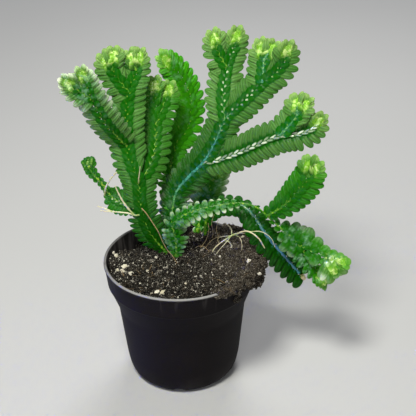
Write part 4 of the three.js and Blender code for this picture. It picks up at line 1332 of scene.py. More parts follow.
def side_leaf():
    """A side leaf: widest in the middle, with a round end, arched along and a little across."""
    outline = [
        (0.0, 0.8), (0.12, 0.92), (0.3, 1.0), (0.5, 0.99), (0.66, 0.93), (0.8, 0.81), (0.9, 0.63),
        (0.97, 0.38), (1.0, 0.12),
    ]

    def height(x, y):
        rise = 0.07 * math.sin(math.pi * x) - 0.14 * x * x
        crown = 0.05 * (1 - y * y) * math.sin(math.pi * max(0.0, min(1.0, x * 1.15 - 0.2)))
        return rise + crown

    return blade("side leaf", outline, 5, height, 0.02)


def small_leaf():
    """A small leaf on the stem: egg-shaped with a blunt point, lying flat on the side leaves."""
    outline = [(0.0, 0.45), (0.18, 0.9), (0.42, 1.0), (0.68, 0.88), (0.88, 0.55), (1.0, 0.12)]

    def height(x, y):
        return 0.05 * math.sin(math.pi * x) - 0.04 * x * x + 0.03 * (1 - y * y)

    return blade("small leaf", outline, 5, height, 0.014)


def lump_shape(name, subdivisions, rough, seed):
    """A crumb of unit size: a ball whose corners are pushed in and out."""
    work = bmesh.new()
    bmesh.ops.create_icosphere(work, subdivisions=subdivisions, radius=0.5)
    for vertex in work.verts:
        vertex.co *= 1 + rough * noise.noise(vertex.co * 3.1 + Vector((seed, 0, 0)))
    return linked(name, mesh_from(work, name))


def splinter_shape():
    """A tiny angular crumb of unit size, with eight faces."""
    points = [
        (0.5, 0.05, 0), (-0.45, 0, 0.1), (0, 0.42, -0.05),
        (0.08, -0.38, 0), (0, 0.1, 0.4), (-0.1, 0, -0.36),
    ]
    faces = [(0, 2, 4), (2, 1, 4), (1, 3, 4), (3, 0, 4), (2, 0, 5), (1, 2, 5), (3, 1, 5), (0, 3, 5)]
    return linked("splinter", outward(mesh_of("splinter", points, faces)))


def thread_shape():
    """A short bent thread of unit length, lying along X."""
    rings, sides, radius = 6, 3, 0.035
    points = []
    for i in range(rings):
        t = i / (rings - 1)
        centre = Vector((t - 0.5, 0.22 * math.sin(t * 2.4), 0.12 * math.sin(math.pi * t)))
        for k in range(sides):
            turn = k / sides * math.tau
            points.append(centre + Vector((0, math.cos(turn), math.sin(turn))) * radius * (1.2 - t * 0.6))
    faces = ring_faces(0, rings, sides)
    faces.append(tuple(reversed(range(sides))))
    faces.append(tuple(range((rings - 1) * sides, rings * sides)))
    return linked("thread", outward(mesh_of("thread", points, faces)))


def outward(mesh):
    """Turns a closed mesh's faces outwards."""
    work = bmesh.new()
    work.from_mesh(mesh)
    bmesh.ops.recalc_face_normals(work, faces=work.faces)
    work.to_mesh(mesh)
    work.free()
    return mesh


def eased_corners(profile):
    """An outline whose corners, given as (r, z, ease), are rounded off over that distance."""
    out = []
    for i, (r, z, size) in enumerate(profile):
        here = Vector((r, z))
        if not size or i in (0, len(profile) - 1):
            out.append(here)
            continue
        before = Vector(profile[i - 1][:2]) - here
        after = Vector(profile[i + 1][:2]) - here
        start = here + before.normalized() * min(size, before.length * 0.48)
        end = here + after.normalized() * min(size, after.length * 0.48)
        for t in (0.0, 0.25, 0.5, 0.75, 1.0):
            out.append(start * (1 - t) ** 2 + here * 2 * t * (1 - t) + end * t * t)
    return out


def lathe(name, outline, sides):
    """A closed body turned about Z from an outline that starts and ends on the axis."""
    points = [(0.0, 0.0, outline[0].y)]
    rings = outline[1:-1]
    for ring in rings:
        for k in range(sides):
            turn = k / sides * math.tau
            points.append((ring.x * math.cos(turn), ring.x * math.sin(turn), ring.y))
    points.append((0.0, 0.0, outline[-1].y))
    faces = ring_faces(1, len(rings), sides)
    last = 1 + (len(rings) - 1) * sides
    for k in range(sides):
        faces.append((0, 1 + (k + 1) % sides, 1 + k))
        faces.append((len(points) - 1, last + k, last + (k + 1) % sides))
    return outward(mesh_of(name, points, faces))


def turned_pin(radius, length, sides, stretch, at, turn):
    """A round cutting pin: its axis along X if it is stretched in Z, upright otherwise."""
    work = bmesh.new()
    sizes = {"radius1": radius, "radius2": radius, "depth": length}
    bmesh.ops.create_cone(work, cap_ends=True, segments=sides, **sizes)
    if stretch:
        work.transform(Matrix.Diagonal((1, 1, stretch, 1)) @ Matrix.Rotation(math.pi / 2, 4, "Y"))
    work.transform(Matrix.Rotation(turn, 4, "Z") @ Matrix.Translation(at))
    return mesh_from(work, "pin")


def joined(name, meshes):
    """Several meshes as one."""
    work = bmesh.new()
    for mesh in meshes:
        work.from_mesh(mesh)
    return mesh_from(work, name)


def cut(thing, cutter_mesh):
    """Takes a cutter out of an object for good."""
    cutter = linked("cutter", cutter_mesh)
    modifier = thing.modifiers.new("cut", "BOOLEAN")
    modifier.operation = "DIFFERENCE"
    modifier.solver = "EXACT"
    modifier.object = cutter
    mesh = applied(thing)
    thing.modifiers.remove(modifier)
    bpy.data.objects.remove(cutter)
    return mesh


# The pot. Radii are shares of the lip's, the rest is in millimetres.
SHOULDER, CORNER, FOOT = 0.84, 0.755, 0.6375
COLLAR_BACK = 1.5  # how far the collar stands back from the lip
LIP = 1.2
CORNER_HEIGHT = 10
FLOOR_TOP = 2.8
RELIEF = 1.6  # how far the underside is raised between its middle and the foot ring
MIDDLE_PAD = 9
NOTCH_HALF, NOTCH_HEIGHT = 3.5, 3.4
NOTCH_TURN = 0.42  # where the first notch stands, in shares of the way to the next
DRAIN, DRAIN_AT = 2.6, 15.5  # a drain hole's radius and its distance from the middle
CUTTER, CUTTER_SIDES = 10, 24
SHARP_FROM = 38  # the angle from which an edge stays sharp, in degrees


def pot_outline(sizes):
    """Half the pot's section: distance from the middle, height and how far each corner is eased."""
    rim, top, wall = sizes.rim_radius, sizes.height, sizes.wall
    collar = rim - COLLAR_BACK * MM
    shoulder, corner, foot = rim * SHOULDER, rim * CORNER, rim * FOOT
    step, neck = top - sizes.collar_height, top - sizes.collar_height - sizes.shoulder_height
    lip, pad, relief = LIP * MM, MIDDLE_PAD * MM, RELIEF * MM
    bend, floor_z = CORNER_HEIGHT * MM, FLOOR_TOP * MM
    return [
        (0.0, 0.0, 0), (pad, 0.0, 0.4 * MM), (pad + 1 * MM, relief, 0.4 * MM),
        (foot - 3.2 * MM, relief, 0.4 * MM), (foot - 2.4 * MM, 0.0, 0.5 * MM), (foot, 0.0, 0.8 * MM),
        (foot + 3.1 * MM, 3.1 * MM, 3 * MM), (corner, bend, 4 * MM), (shoulder, neck, 2 * MM),
        (collar - 0.6 * MM, step - 0.8 * MM, 0.5 * MM), (collar, step, 0.4 * MM),
        (rim - 0.5 * MM, top - 1.5 * lip, 0.3 * MM), (rim, top - lip, 0.35 * MM),
        (rim - 0.2 * MM, top, 0.4 * MM), (rim - 0.5 * MM - wall, top, 0.35 * MM),
        (collar - wall, step + 0.6 * MM, 2 * MM), (shoulder - wall, neck, 2 * MM),
        (corner - wall, bend, 4 * MM), (foot + 1.8 * MM, floor_z, 2 * MM), (0.0, floor_z, 0),
    ]


def make_pot(sizes, colours):
    """The pot: turned wall with its lip, collar, shoulder and foot, notches in the foot and drain holes."""
    body = linked("pot body", lathe("pot", eased_corners(pot_outline(sizes)), sizes.sides))
    notch_at = Vector((sizes.rim_radius * FOOT + 1 * MM, 0, 0))
    drain_at = Vector((DRAIN_AT * MM, 0, 2 * MM))
    arch = NOTCH_HEIGHT / NOTCH_HALF
    pins = []
    for i in range(sizes.feet):
        turn = (i + NOTCH_TURN) / sizes.feet * math.tau
        pins.append(turned_pin(NOTCH_HALF * MM, CUTTER * MM, CUTTER_SIDES, arch, notch_at, turn))
        turn += math.pi / sizes.feet
        pins.append(turned_pin(DRAIN * MM, CUTTER * MM, CUTTER_SIDES, 0, drain_at, turn))
    mesh = cut(body, joined("pins", pins))
    bpy.data.objects.remove(body)
    mesh.shade_smooth()
    mesh.set_sharp_from_angle(angle=math.radians(SHARP_FROM))
    mesh.materials.clear()
    mesh.materials.append(plastic_finish(colours))
    piece("nursery_pot", mesh, ("pot",))


# The plugs that fill the mix's holes, in millimetres.
PLUG, PLUG_LENGTH, PLUG_DEPTH, PLUG_SIDES = 3.2, 16, 8.3, 16
ABOVE_MIX = 66  # a rooting stem that ends above this doesn't reach the mix
HOLE_TOP = 61  # what lies lower than this round a spot belongs to a hole
ROUND_SPOT = 6  # how far round a spot the mix's height is taken


def holes_filled(node_mesh):
    """The mix with its plain holes filled up, so that it closes round the stalks and the roots."""
    spots = [shoot["stalk"][1] for shoot in SHOOTS.values()]
    ends = [strand[-1] for strands in RHIZOPHORES.values() for strand in strands]
    spots += [end for end in ends if end[2] < ABOVE_MIX]
    meshes = [node_mesh]
    for x, y, _ in spots:
        at = Vector((x * MM, y * MM, top_of_mix(node_mesh, x, y) - PLUG_DEPTH * MM))
        meshes.append(turned_pin(PLUG * MM, PLUG_LENGTH * MM, PLUG_SIDES, 0, at, 0.0))
    return joined("filled mix", meshes + slump())


# The slump of mix over the rim: turns in degrees about the pot, lengths in millimetres.
SLUMP_FROM, SLUMP_TO, SLUMP_STEP = -56, 52, 5
RIM_MIDDLE = 39.2
SLUMP_HEIGHT = 67.6


def slump():
    """Lumps of mix along the rim at the right, which hide the lip."""
    lumps = []
    for number, turn in enumerate(range(SLUMP_FROM, SLUMP_TO, SLUMP_STEP)):
        share = (turn - SLUMP_FROM) / (SLUMP_TO - SLUMP_FROM)
        swell = math.sin(math.pi * min(1.0, share * 1.1 + 0.12)) ** 0.6
        uneven = math.sin(number * 2.3) * 0.35
        across, along, high = 2.4 + 1.1 * swell + uneven, 3.6 + uneven, 1.7 + 1.0 * swell
        at = (RIM_MIDDLE + 0.5 * swell + uneven, 0, SLUMP_HEIGHT + 0.6 * swell)
        shape = lump_shape("slump", 3, 0.8, number * 1.7)
        shape.data.transform(Matrix.Diagonal((across * 2 * MM, along * 2 * MM, high * 2 * MM, 1)))
        shape.data.transform(Matrix.Translation(Vector(at) * MM))
        shape.data.transform(Matrix.Rotation(math.radians(turn), 4, "Z"))
        lumps.append(shape.data)
        bpy.data.objects.remove(shape)
    return lumps


def top_of_mix(mesh, x, y):
    """The mean height of the mix's corners round a spot, in metres, its own holes left out."""
    co = vectors_of(mesh.vertices, "co")
    gap = np.hypot(co[:, 0] - x * MM, co[:, 1] - y * MM)
    near = co[(gap < ROUND_SPOT * MM) & (co[:, 2] > HOLE_TOP * MM)]
    return float(np.median(near[:, 2]))


def rough_height(p):
    """How far a spot of the mix is pushed in or out, from the grain of three sizes of crumb."""
    clod = noise.fractal(p * 210.0, 1.0, 2.0, 3)
    crumb = abs(noise.noise(p * 620.0 + Vector((3, 7, 1))))
    fine = noise.noise(p * 1300.0)
    return clod * 0.5 + crumb * 0.7 + fine * 0.4 - 0.25


# Where the mix changes, each as the start and the end of a change, in metres: radii, then heights, then
# distances to the right, to the left and to the front.
OVER_WALL = (0.0362, 0.0385)
INNER_WALL, OUTER_WALL = (0.036, 0.0375), (0.0405, 0.0415)
OPEN_TOP = (0.0535, 0.0565)
DRY_TOP = (0.064, 0.069)
STREWN_FROM, SPILT_FROM = 0.056, 0.057
DRY_RIGHT = (-0.004, 0.03)
PALE_LEFT, PALE_FRONT, PALE_MIDDLE = (0.008, 0.03), (-0.006, 0.01), 0.004


def remeshed_mix(voxel):
    """The CAD solid of the mix with its holes filled, remeshed finely."""
    work = bmesh.new()
    work.from_mesh(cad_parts["potting_mix"].data)
    bmesh.ops.remove_doubles(work, verts=work.verts, dist=1e-6)
    thing = linked("mix source", holes_filled(mesh_from(work, "mix")))
    remesh = thing.modifiers.new("remesh", "REMESH")
    remesh.mode = "VOXEL"
    remesh.voxel_size = voxel
    soften = thing.modifiers.new("soften", "SMOOTH")
    soften.factor = 0.5
    soften.iterations = 4
    mesh = applied(thing)
    bpy.data.objects.remove(thing)
    if "sharp_face" in mesh.attributes:
        mesh.attributes.remove(mesh.attributes["sharp_face"])
    return mesh


def mix_surface(sizes):
    """The mix, made rough where it is open, with how dry it is and how thickly it is strewn."""
    mesh = remeshed_mix(sizes.mix_voxel)
    co = vectors_of(mesh.vertices, "co")
    normals = vectors_of(mesh.vertex_normals, "vector")
    radius = np.hypot(co[:, 0], co[:, 1])
    spill = ease(radius, *OVER_WALL)
    open_top = ease(co[:, 2], *OPEN_TOP) * np.clip(spill + ease(normals[:, 2], 0.1, 0.4), 0, 1)
    push = np.array([rough_height(Vector(p)) for p in co]) * open_top * sizes.crumb_height
    near_wall = ease(radius, *INNER_WALL) * (1 - ease(radius, *OUTER_WALL))
    push = np.where(push < 0, push, push * (1 - near_wall * 0.7))
    co = co + normals * push[:, None]
    mesh.vertices.foreach_set("co", co.ravel())
    dry = ease(co[:, 0], *DRY_RIGHT) * ease(co[:, 2], *DRY_TOP)
    paint(mesh, "dry", np.clip(dry + spill * 0.6, 0, 1))
    upward = ease(normals[:, 2], 0.05, 0.5) * (co[:, 2] > STREWN_FROM)
    spilt = spill * 0.7 * (co[:, 2] > SPILT_FROM)
    paint(mesh, "strewn", np.clip(upward * (1 - near_wall * 0.8) + spilt, 0, 1))
    left = ease(-co[:, 0], *PALE_LEFT) * ease(PALE_MIDDLE - co[:, 1], *PALE_FRONT)
    paint(mesh, "pale_grit", np.clip(upward * (0.12 + left) * (1 - near_wall), 0, 1))
    mesh.update()
    mesh.shade_smooth()
    return mesh


# What is strewn over the mix: density in shares of the crumbs', smallest and largest size in millimetres,
# how far grains tumble, how far they sink or, below 0, stand out in shares of their size, seed and the
# palest tone.
GRAINS = {
    "crumbs": (1.0, 0.6, 1.7, 3.0, -0.15, 3, 0.84),
    "fine_crumbs": (2.9, 0.45, 1.2, 3.0, -0.2, 5, 1.0),
    "fine_perlite": (0.05, 0.35, 1.0, 3.0, -0.2, 8, 1.0),
    "coir_threads": (0.035, 1.5, 6, 0.3, -0.06, 12, 1.0),
}


def strewn(name, surface, grain, density, finish, weight=None):
    """A piece of grains strewn over a surface."""
    share, smallest, largest, tumble, sink, seed, palest = GRAINS[name]
    mesh = surface.copy()
    if weight:
        chosen = np.empty(len(mesh.vertices), np.float32)
        mesh.attributes[weight].data.foreach_get("value", chosen)
        mesh.attributes["strewn"].data.foreach_set("value", chosen)
    source = linked("surface", mesh)
    result = run_tree(source, scatter_tree(), {
        "Grain": grain, "Density": density * share, "Smallest": smallest * MM, "Largest": largest * MM,
        "Tumble": tumble, "Sink": sink, "Seed": seed, "Palest": palest, "Finish": finish,
    })
    for item in (source, grain):
        bpy.data.objects.remove(item)
    return piece(name, result)


# The larger perlite grains that show, in millimetres: x, y and size, each resting on the mix.
PERLITE = [
    (-36, 12, 1.6), (-30.6, 4.3, 2.1), (-28.7, -4.7, 2.6), (-29.7, -9.9, 2.4), (-24.8, -13.6, 2.6),
    (-32, -9.4, 1.7), (-16.9, -9.9, 1.4), (-13, 3.6, 1.2), (-8, -29.8, 2.8), (-11.3, -29, 2.2),
    (-35.5, -2.5, 1.4), (35, -9.2, 2.2), (24.1, -21.2, 1.6), (32.9, 10.2, 1.6), (20.5, -2.9, 1.1),
    (39.9, -20.5, 1.5), (26.8, 0.6, 1.1), (16.3, -4.2, 1.0), (-4.5, -6.2, 0.9), (-20.1, -20.3, 1.0),
    (12.6, -15.6, 1.0), (-34, 5, 2.0), (-27, 8, 1.5), (-19, -2, 1.1), (3, -22, 1.1), (30, -16, 1.0),
]


def perlite_grains(surface, colours):
    """The larger perlite grains, each set at its listed spot and half sunk into the mix."""
    co = vectors_of(surface.vertices, "co")
    meshes = []
    tones = []
    for number, (x, y, size) in enumerate(PERLITE):
        nearest_first = np.argsort(np.hypot(co[:, 0] - x * MM, co[:, 1] - y * MM))
        height = float(co[nearest_first[:12], 2].max())
        shape = lump_shape("grain", 2, 0.9, number * 2.3)
        stretch = Matrix.Diagonal((size * 1.15 * MM, size * 0.95 * MM, size * 0.9 * MM, 1))
        turn = Matrix.Rotation(number * 1.7, 4, "Z") @ Matrix.Rotation(number * 0.9, 4, "X")
        place = Matrix.Translation((x * MM, y * MM, height + size * 0.3 * MM))
        shape.data.transform(place @ turn @ stretch)
        meshes.append(shape.data)
        tones += [(number * 0.37) % 1.0] * len(shape.data.vertices)
        bpy.data.objects.remove(shape)
    mesh = joined("perlite", meshes)
    paint(mesh, "tone", tones)
    mesh.materials.append(perlite_finish(colours))
    piece("perlite", mesh)


def make_mix(sizes, colours):
    """The potting mix with its crumbs, perlite and coir threads."""
    surface = mix_surface(sizes)
    finish = mix_finish(colours)
    density = sizes.crumb_density
    pale = perlite_finish(colours)
    strewn("crumbs", surface, lump_shape("crumb", 1, 1.5, 4.0), density, finish)
    strewn("fine_crumbs", surface, splinter_shape(), density, finish)
    strewn("fine_perlite", surface, lump_shape("grit", 1, 1.0, 9.0), density, pale, "pale_grit")
    strewn("coir_threads", surface, thread_shape(), density, fibre_finish(colours))
    perlite_grains(surface, colours)
    surface.materials.clear()
    surface.materials.append(finish)
    piece("mix_surface", surface, ("potting_mix",))


def make_shoots(sizes, colours):
    """The leafy shoots, each in one piece."""
    leaf, small = side_leaf(), small_leaf()
    finishes = {
        "Leaf Finish": leaf_finish(colours),
        "Small Leaf Finish": small_leaf_finish(colours),
        "Stem Finish": stem_finish(colours),
    }
    tree = leafy_stem_tree()
    for number, (node, shoot) in enumerate(SHOOTS.items()):
        source = linked("stations", stations_of(shoot))
        mesh = run_tree(source, tree, {
            "Leaf": leaf, "Small Leaf": small, "Stem Radius": sizes.stem_radius,
            "Leaf Width": sizes.leaf_width, "Small Leaf Length": sizes.small_leaf_length,
            "Small Leaf Width": sizes.small_leaf_width, "Shingle": sizes.shingle,
            "Unevenness": sizes.unevenness, "Seed": number * 200, **finishes,
        })
        bpy.data.objects.remove(source)
        piece("leafy_" + node, mesh, (node,))
    for item in (leaf, small):
        bpy.data.objects.remove(item)


def strands_mesh(strands, thin, size, brown):
    """Routes as a mesh of edges, with the girth and the colour at each point."""
    places, edges, girth, along = [], [], [], []
    for number, strand in enumerate(strands):
        line = Route(strand)
        u = np.linspace(0, line.length, max(6, int(line.length / ROOT_STEP)))
        share = u / line.length
        first = len(places)
        places.extend(line.at(u) * MM)
        edges.extend((first + i, first + i + 1) for i in range(len(u) - 1))
        swell = 1 + 0.12 * np.sin(u * 1.9 + number)
        girth.extend((1 - (1 - thin) * share) * swell * (SIDE_STRAND if number else 1.0) * size)
        along.extend(share)
    mesh = mesh_of("routes", places, edges=edges)
    paint(mesh, "girth", girth)
    paint(mesh, "along", along)
    paint(mesh, "brown", np.full(len(places), brown))
    return mesh


def make_rhizophores(sizes, colours):
    """The rooting stems, one piece for each node, and the strands that stand for none."""
    tree = strand_tree()
    values = {"Radius": sizes.root_radius, "Sides": ROOT_SIDES, "Finish": rhizophore_finish(colours)}
    bundles = [
        ("rooting_stem_" + node.split("_")[1], (node,), (strands, ROOT_END, *ROOT_LOOKS[node]))
        for node, strands in RHIZOPHORES.items()
    ]
    bundles += [(name, (), bundle) for name, bundle in LOOSE_ROOTS.items()]
    for name, nodes, bundle in bundles:
        source = linked("routes", strands_mesh(*bundle))
        result = run_tree(source, tree, values)
        bpy.data.objects.remove(source)
        piece(name, result, nodes)


def length(name, text, default):
    """A setting for a length."""
    return bpy.props.FloatProperty(name=name, description=text, default=default, unit="LENGTH")


def amount(name, text, default):
    """A setting for a plain number."""
    return bpy.props.FloatProperty(name=name, description=text, default=default)


class PotSizes(bpy.types.PropertyGroup):
    """Sizes of the pot."""

    rim_radius: length("Rim radius", "Outer radius of the lip", POT_HIGH[0])
    height: length("Height", "From the foot to the lip", POT_HIGH[2])
    wall: length("Wall", "Thickness of the wall", 0.9 * MM)
    collar_height: length("Collar height", "Height of the straight top part", 12 * MM)
    shoulder_height: length("Shoulder height", "Height of the tapered step", 13 * MM)
    feet: bpy.props.IntProperty(name="Notches", description="Arched notches in the foot ring", default=6)
    sides: bpy.props.IntProperty(name="Sides", description="Facets round the pot", default=144)


class MixSizes(bpy.types.PropertyGroup):
    """Sizes of the potting mix."""

    mix_voxel: length("Mesh size", "Size of the faces of the mix", 0.55 * MM)
    crumb_height: length("Roughness", "Height of the crumbs in the surface", 2.2 * MM)
    crumb_density: amount("Crumbs", "Loose crumbs for each square metre", 950000.0)


class ShootSizes(bpy.types.PropertyGroup):
    """Sizes of the leafy shoots and the rooting stems."""

    stem_radius: length("Stem radius", "At the foot of a branch", 0.95 * MM)
    leaf_width: length("Leaf width", "Of a full-grown side leaf", 4.5 * MM)
    small_leaf_length: length("Small leaf length", "Along the stem", 5.1 * MM)
    small_leaf_width: length("Small leaf width", "Across it", 3.4 * MM)
    shingle: amount("Shingle", "How far each leaf leans over the one behind it", 0.16)
    unevenness: amount("Unevenness", "How much leaves differ in direction", 0.07)
    root_radius: length("Rooting stem radius", "Where it leaves the shoot", 0.5 * MM)


def colour(label, red, green, blue):
    """A colour setting."""
    text = "Colour of " + label
    return bpy.props.FloatVectorProperty(
        name=label.capitalize(), description=text, subtype="COLOR", size=3, min=0, max=1,
        default=(red, green, blue),
    )


class Colours(bpy.types.PropertyGroup):
    """Colours of every surface."""

    deep: colour("leaf beside the stem", 0.003, 0.09, 0.0008)
    fresh: colour("plain leaf", 0.01, 0.15, 0.0015)
    # Partly the leaf end's own pale grey, partly a painted sheen.
    velvet: colour("velvety leaf end", 0.115, 0.275, 0.06)
    lime: colour("lighter branch", 0.05, 0.34, 0.003)
    young: colour("growing tip", 0.26, 0.62, 0.03)
    young_edge: colour("edge of a young leaf", 0.5, 0.76, 0.22)
    # The colour of the painted highlight on growing tips.
    painted_tip_highlight: colour("growing tip's highlight", 0.74, 0.93, 0.34)
    # The colour of the painted sheen, a wet-looking highlight.
    sheen: colour("wet sheen", 0.42, 0.75, 0.5)
    # The colour of the painted highlight on leaf ends.
    frost: colour("whitish leaf end", 0.78, 0.88, 0.7)
    # The painted blue shine: its lighter streaks, the darker blue between them, and its violet.
    blue: colour("blue shine", 0.04, 0.3, 0.27)
    blue_dark: colour("blue stem", 0.008, 0.12, 0.09)
    violet: colour("violet shine", 0.035, 0.1, 0.34)
    under: colour("leaf's underside", 0.05, 0.2, 0.03)
    braid: colour("small leaf's root", 0.3, 0.52, 0.03)
    # The painted highlight of the small leaves that gleam.
    gleam: colour("pale small leaf", 0.72, 0.84, 0.66)
    root: colour("rooting stem", 0.68, 0.66, 0.46)
    root_green: colour("rooting stem by the shoot", 0.3, 0.42, 0.12)
    root_brown: colour("rooting stem's end", 0.32, 0.22, 0.1)
    plastic: colour("pot", 0.004, 0.004, 0.005)
    plastic_light: colour("pot's haze", 0.014, 0.011, 0.012)
    # The worn lip, with its painted highlight at the front.
    worn: colour("worn lip", 0.3, 0.3, 0.305)
    # Also lightens the inner wall, as a painted reflection.
    dust: colour("dust on the pot", 0.07, 0.065, 0.065)
    peat: colour("damp mix", 0.004, 0.0035, 0.0033)
    peat_brown: colour("brown mix", 0.021, 0.018, 0.014)
    peat_dry: colour("dry mix", 0.15, 0.125, 0.095)
    # Pale grit, which also serves as the painted glints.
    grit: colour("glinting grit", 0.8, 0.77, 0.68)
    perlite: colour("perlite", 0.7, 0.67, 0.58)
    perlite_stained: colour("stained perlite", 0.4, 0.36, 0.2)
    fibre: colour("light coir", 0.22, 0.15, 0.07)
    fibre_dark: colour("dark coir", 0.03, 0.018, 0.01)
    floor: colour("floor", 0.44, 0.45, 0.47)
    floor_far: colour("floor's haze", 0.47, 0.48, 0.5)


# The camera, fitted to the photograph's perspective: place in millimetres, aim, roll in degrees and lens.
CAMERA_AT = (14.8, -423.1, 334.0)
CAMERA_AIM = (0.0, 0.8721, -0.4894)
CAMERA_ROLL = 1.1
SENSOR = 36.0
LENS = 960.0 / 416.0 * SENSOR
NEAREST_SEEN = 0.01

# The plain lamps: place and side in metres, power in shares of the main one's, tint.
LAMPS = (
    ("main lamp", (-0.14, -0.36, 0.8), 0.2, 1.0, (1.0, 0.98, 0.87)),
    ("rear lamp", (0.1, 0.5, 0.6), 0.3, 0.4, (1.0, 0.98, 0.95)),
    ("front lamp", (-0.1, -0.8, 0.4), 0.3, 0.22, (1.0, 0.97, 0.93)),
)
LAMP_AIM = (0.01, 0.0, 0.09)

# The narrow lamp that gives the pot's left side its blue, level with it.
COOL_LAMP = ("cool lamp", (-0.75, -0.25, 0.07), 0.1, 0.008, (0.02, 0.05, 1.0))
COOL_AIM = (-0.03, 0, 0.04)
COOL_SPREAD = 16  # degrees

ROOM_TINT = (0.93, 0.95, 1.0, 1.0)


class StageSizes(bpy.types.PropertyGroup):
    """The studio."""

    floor_size: length("Floor", "Side of the floor", 40.0)
    daylight: amount("Room light", "Strength of the light from all round", 0.06)
    key_power: bpy.props.FloatProperty(
        name="Main light", description="Power of the large lamp above", default=8.2, unit="POWER",
    )


def make_floor(size, colours):
    """The floor, a plain square."""
    half = size / 2
    corners = [(-half, -half, 0), (half, -half, 0), (half, half, 0), (-half, half, 0)]
    floor = linked("floor", mesh_of("floor", corners, [(0, 1, 2, 3)]))
    floor.data.materials.append(floor_finish(colours))


def make_lamp(row, main_power, target):
    """A soft square lamp, aimed at a spot."""
    name, at, side, share, tint = row
    light = bpy.data.lights.new(name, "AREA")
    light.size = side
    light.energy = main_power * share
    light.color = tint
    thing = linked(name, light)
    thing.location = at
    thing.rotation_euler = (Vector(target) - Vector(at)).to_track_quat("-Z", "Y").to_euler()
    return thing


def make_room_light(strength):
    """Even light from all round."""
    world = bpy.data.worlds.new("room light")
    world.use_nodes = True
    background = world.node_tree.nodes["Background"]
    background.inputs["Color"].default_value = ROOM_TINT
    background.inputs["Strength"].default_value = strength
    bpy.context.scene.world = world


def make_camera():
    """The camera, rolled a little as the photograph is."""
    aim = Vector(CAMERA_AIM).normalized()
    level = aim.cross(Vector((0, 0, 1))).normalized()
    upright = level.cross(aim)
    turn = Matrix.Rotation(math.radians(CAMERA_ROLL), 3, aim)
    basis = Matrix((turn @ level, turn @ upright, -aim)).transposed().to_4x4()
    lens = bpy.data.cameras.new("camera")
    lens.lens = LENS
    lens.sensor_width = SENSOR
    lens.clip_start = NEAREST_SEEN
    camera = linked("camera", lens)
    camera.matrix_world = Matrix.Translation(Vector(CAMERA_AT) * MM) @ basis
    bpy.context.scene.camera = camera


def make_stage(sizes, colours):
    """Floor, soft lamps, room light and camera."""
    make_floor(sizes.floor_size, colours)
    for row in LAMPS:
        make_lamp(row, sizes.key_power, LAMP_AIM)
    cool = make_lamp(COOL_LAMP, sizes.key_power, COOL_AIM)
    cool.data.spread = math.radians(COOL_SPREAD)
    cool.visible_glossy = False
    make_room_light(sizes.daylight)
    bpy.context.scene.view_settings.view_transform = "Standard"
    make_camera()


class SPIKEMOSS_OT_pot(bpy.types.Operator):
    """Makes the nursery pot"""

    bl_idname = "spikemoss.pot"
    bl_label = "Pot"

    def execute(self, context):
        make_pot(context.scene.spikemoss_pot, context.scene.spikemoss_colours)
        return {"FINISHED"}


class SPIKEMOSS_OT_mix(bpy.types.Operator):
    """Makes the potting mix with its crumbs, perlite and threads"""

    bl_idname = "spikemoss.mix"
    bl_label = "Potting mix"

    def execute(self, context):
        make_mix(context.scene.spikemoss_mix, context.scene.spikemoss_colours)
        return {"FINISHED"}


class SPIKEMOSS_OT_shoots(bpy.types.Operator):
    """Makes the leafy shoots"""

    bl_idname = "spikemoss.shoots"
    bl_label = "Leafy shoots"

    def execute(self, context):
        make_shoots(context.scene.spikemoss_shoots, context.scene.spikemoss_colours)
        return {"FINISHED"}


class SPIKEMOSS_OT_rhizophores(bpy.types.Operator):
    """Makes the rooting stems"""

    bl_idname = "spikemoss.rhizophores"
    bl_label = "Rooting stems"

    def execute(self, context):
        make_rhizophores(context.scene.spikemoss_shoots, context.scene.spikemoss_colours)
        return {"FINISHED"}


class SPIKEMOSS_OT_stage(bpy.types.Operator):
    """Makes the floor, the lamps and the camera"""

    bl_idname = "spikemoss.stage"
    bl_label = "Studio"

    def execute(self, context):
        make_stage(context.scene.spikemoss_stage, context.scene.spikemoss_colours)
        return {"FINISHED"}


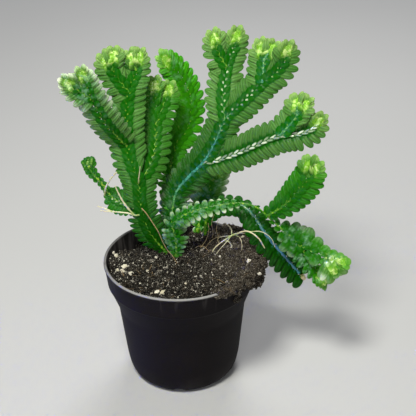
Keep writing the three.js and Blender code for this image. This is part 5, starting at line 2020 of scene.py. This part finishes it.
class SPIKEMOSS_PT_panel(bpy.types.Panel):
    """Sizes, colours and the steps that build the plant"""

    bl_label = "Potted spikemoss"
    bl_idname = "SPIKEMOSS_PT_panel"
    bl_space_type = "VIEW_3D"
    bl_region_type = "UI"
    bl_category = "Spikemoss"

    def draw(self, context):
        for label, operators, settings in PANEL_ROWS:
            box = self.layout.box()
            box.label(text=label)
            group = getattr(context.scene, settings)
            for name in group.bl_rna.properties.keys():
                if name not in {"rna_type", "name"}:
                    box.prop(group, name)
            for operator in operators:
                box.operator(operator.bl_idname)


SETTINGS = {
    "spikemoss_pot": PotSizes,
    "spikemoss_mix": MixSizes,
    "spikemoss_shoots": ShootSizes,
    "spikemoss_stage": StageSizes,
    "spikemoss_colours": Colours,
}
OPERATORS = (
    SPIKEMOSS_OT_pot, SPIKEMOSS_OT_mix, SPIKEMOSS_OT_shoots, SPIKEMOSS_OT_rhizophores, SPIKEMOSS_OT_stage,
)
PANEL_ROWS = (
    ("Pot", (SPIKEMOSS_OT_pot,), "spikemoss_pot"),
    ("Potting mix", (SPIKEMOSS_OT_mix,), "spikemoss_mix"),
    ("Shoots", (SPIKEMOSS_OT_shoots, SPIKEMOSS_OT_rhizophores), "spikemoss_shoots"),
    ("Studio", (SPIKEMOSS_OT_stage,), "spikemoss_stage"),
    ("Colours", (), "spikemoss_colours"),
)


def register():
    for cls in (*SETTINGS.values(), *OPERATORS, SPIKEMOSS_PT_panel):
        bpy.utils.register_class(cls)
    for name, cls in SETTINGS.items():
        setattr(bpy.types.Scene, name, bpy.props.PointerProperty(type=cls))


def unregister():
    for name in SETTINGS:
        delattr(bpy.types.Scene, name)
    for cls in reversed((*SETTINGS.values(), *OPERATORS, SPIKEMOSS_PT_panel)):
        bpy.utils.unregister_class(cls)


def main():
    register()
    bpy.ops.spikemoss.pot()
    bpy.ops.spikemoss.mix()
    bpy.ops.spikemoss.shoots()
    bpy.ops.spikemoss.rhizophores()
    bpy.ops.spikemoss.stage()


if __name__ == "__main__":
    main()
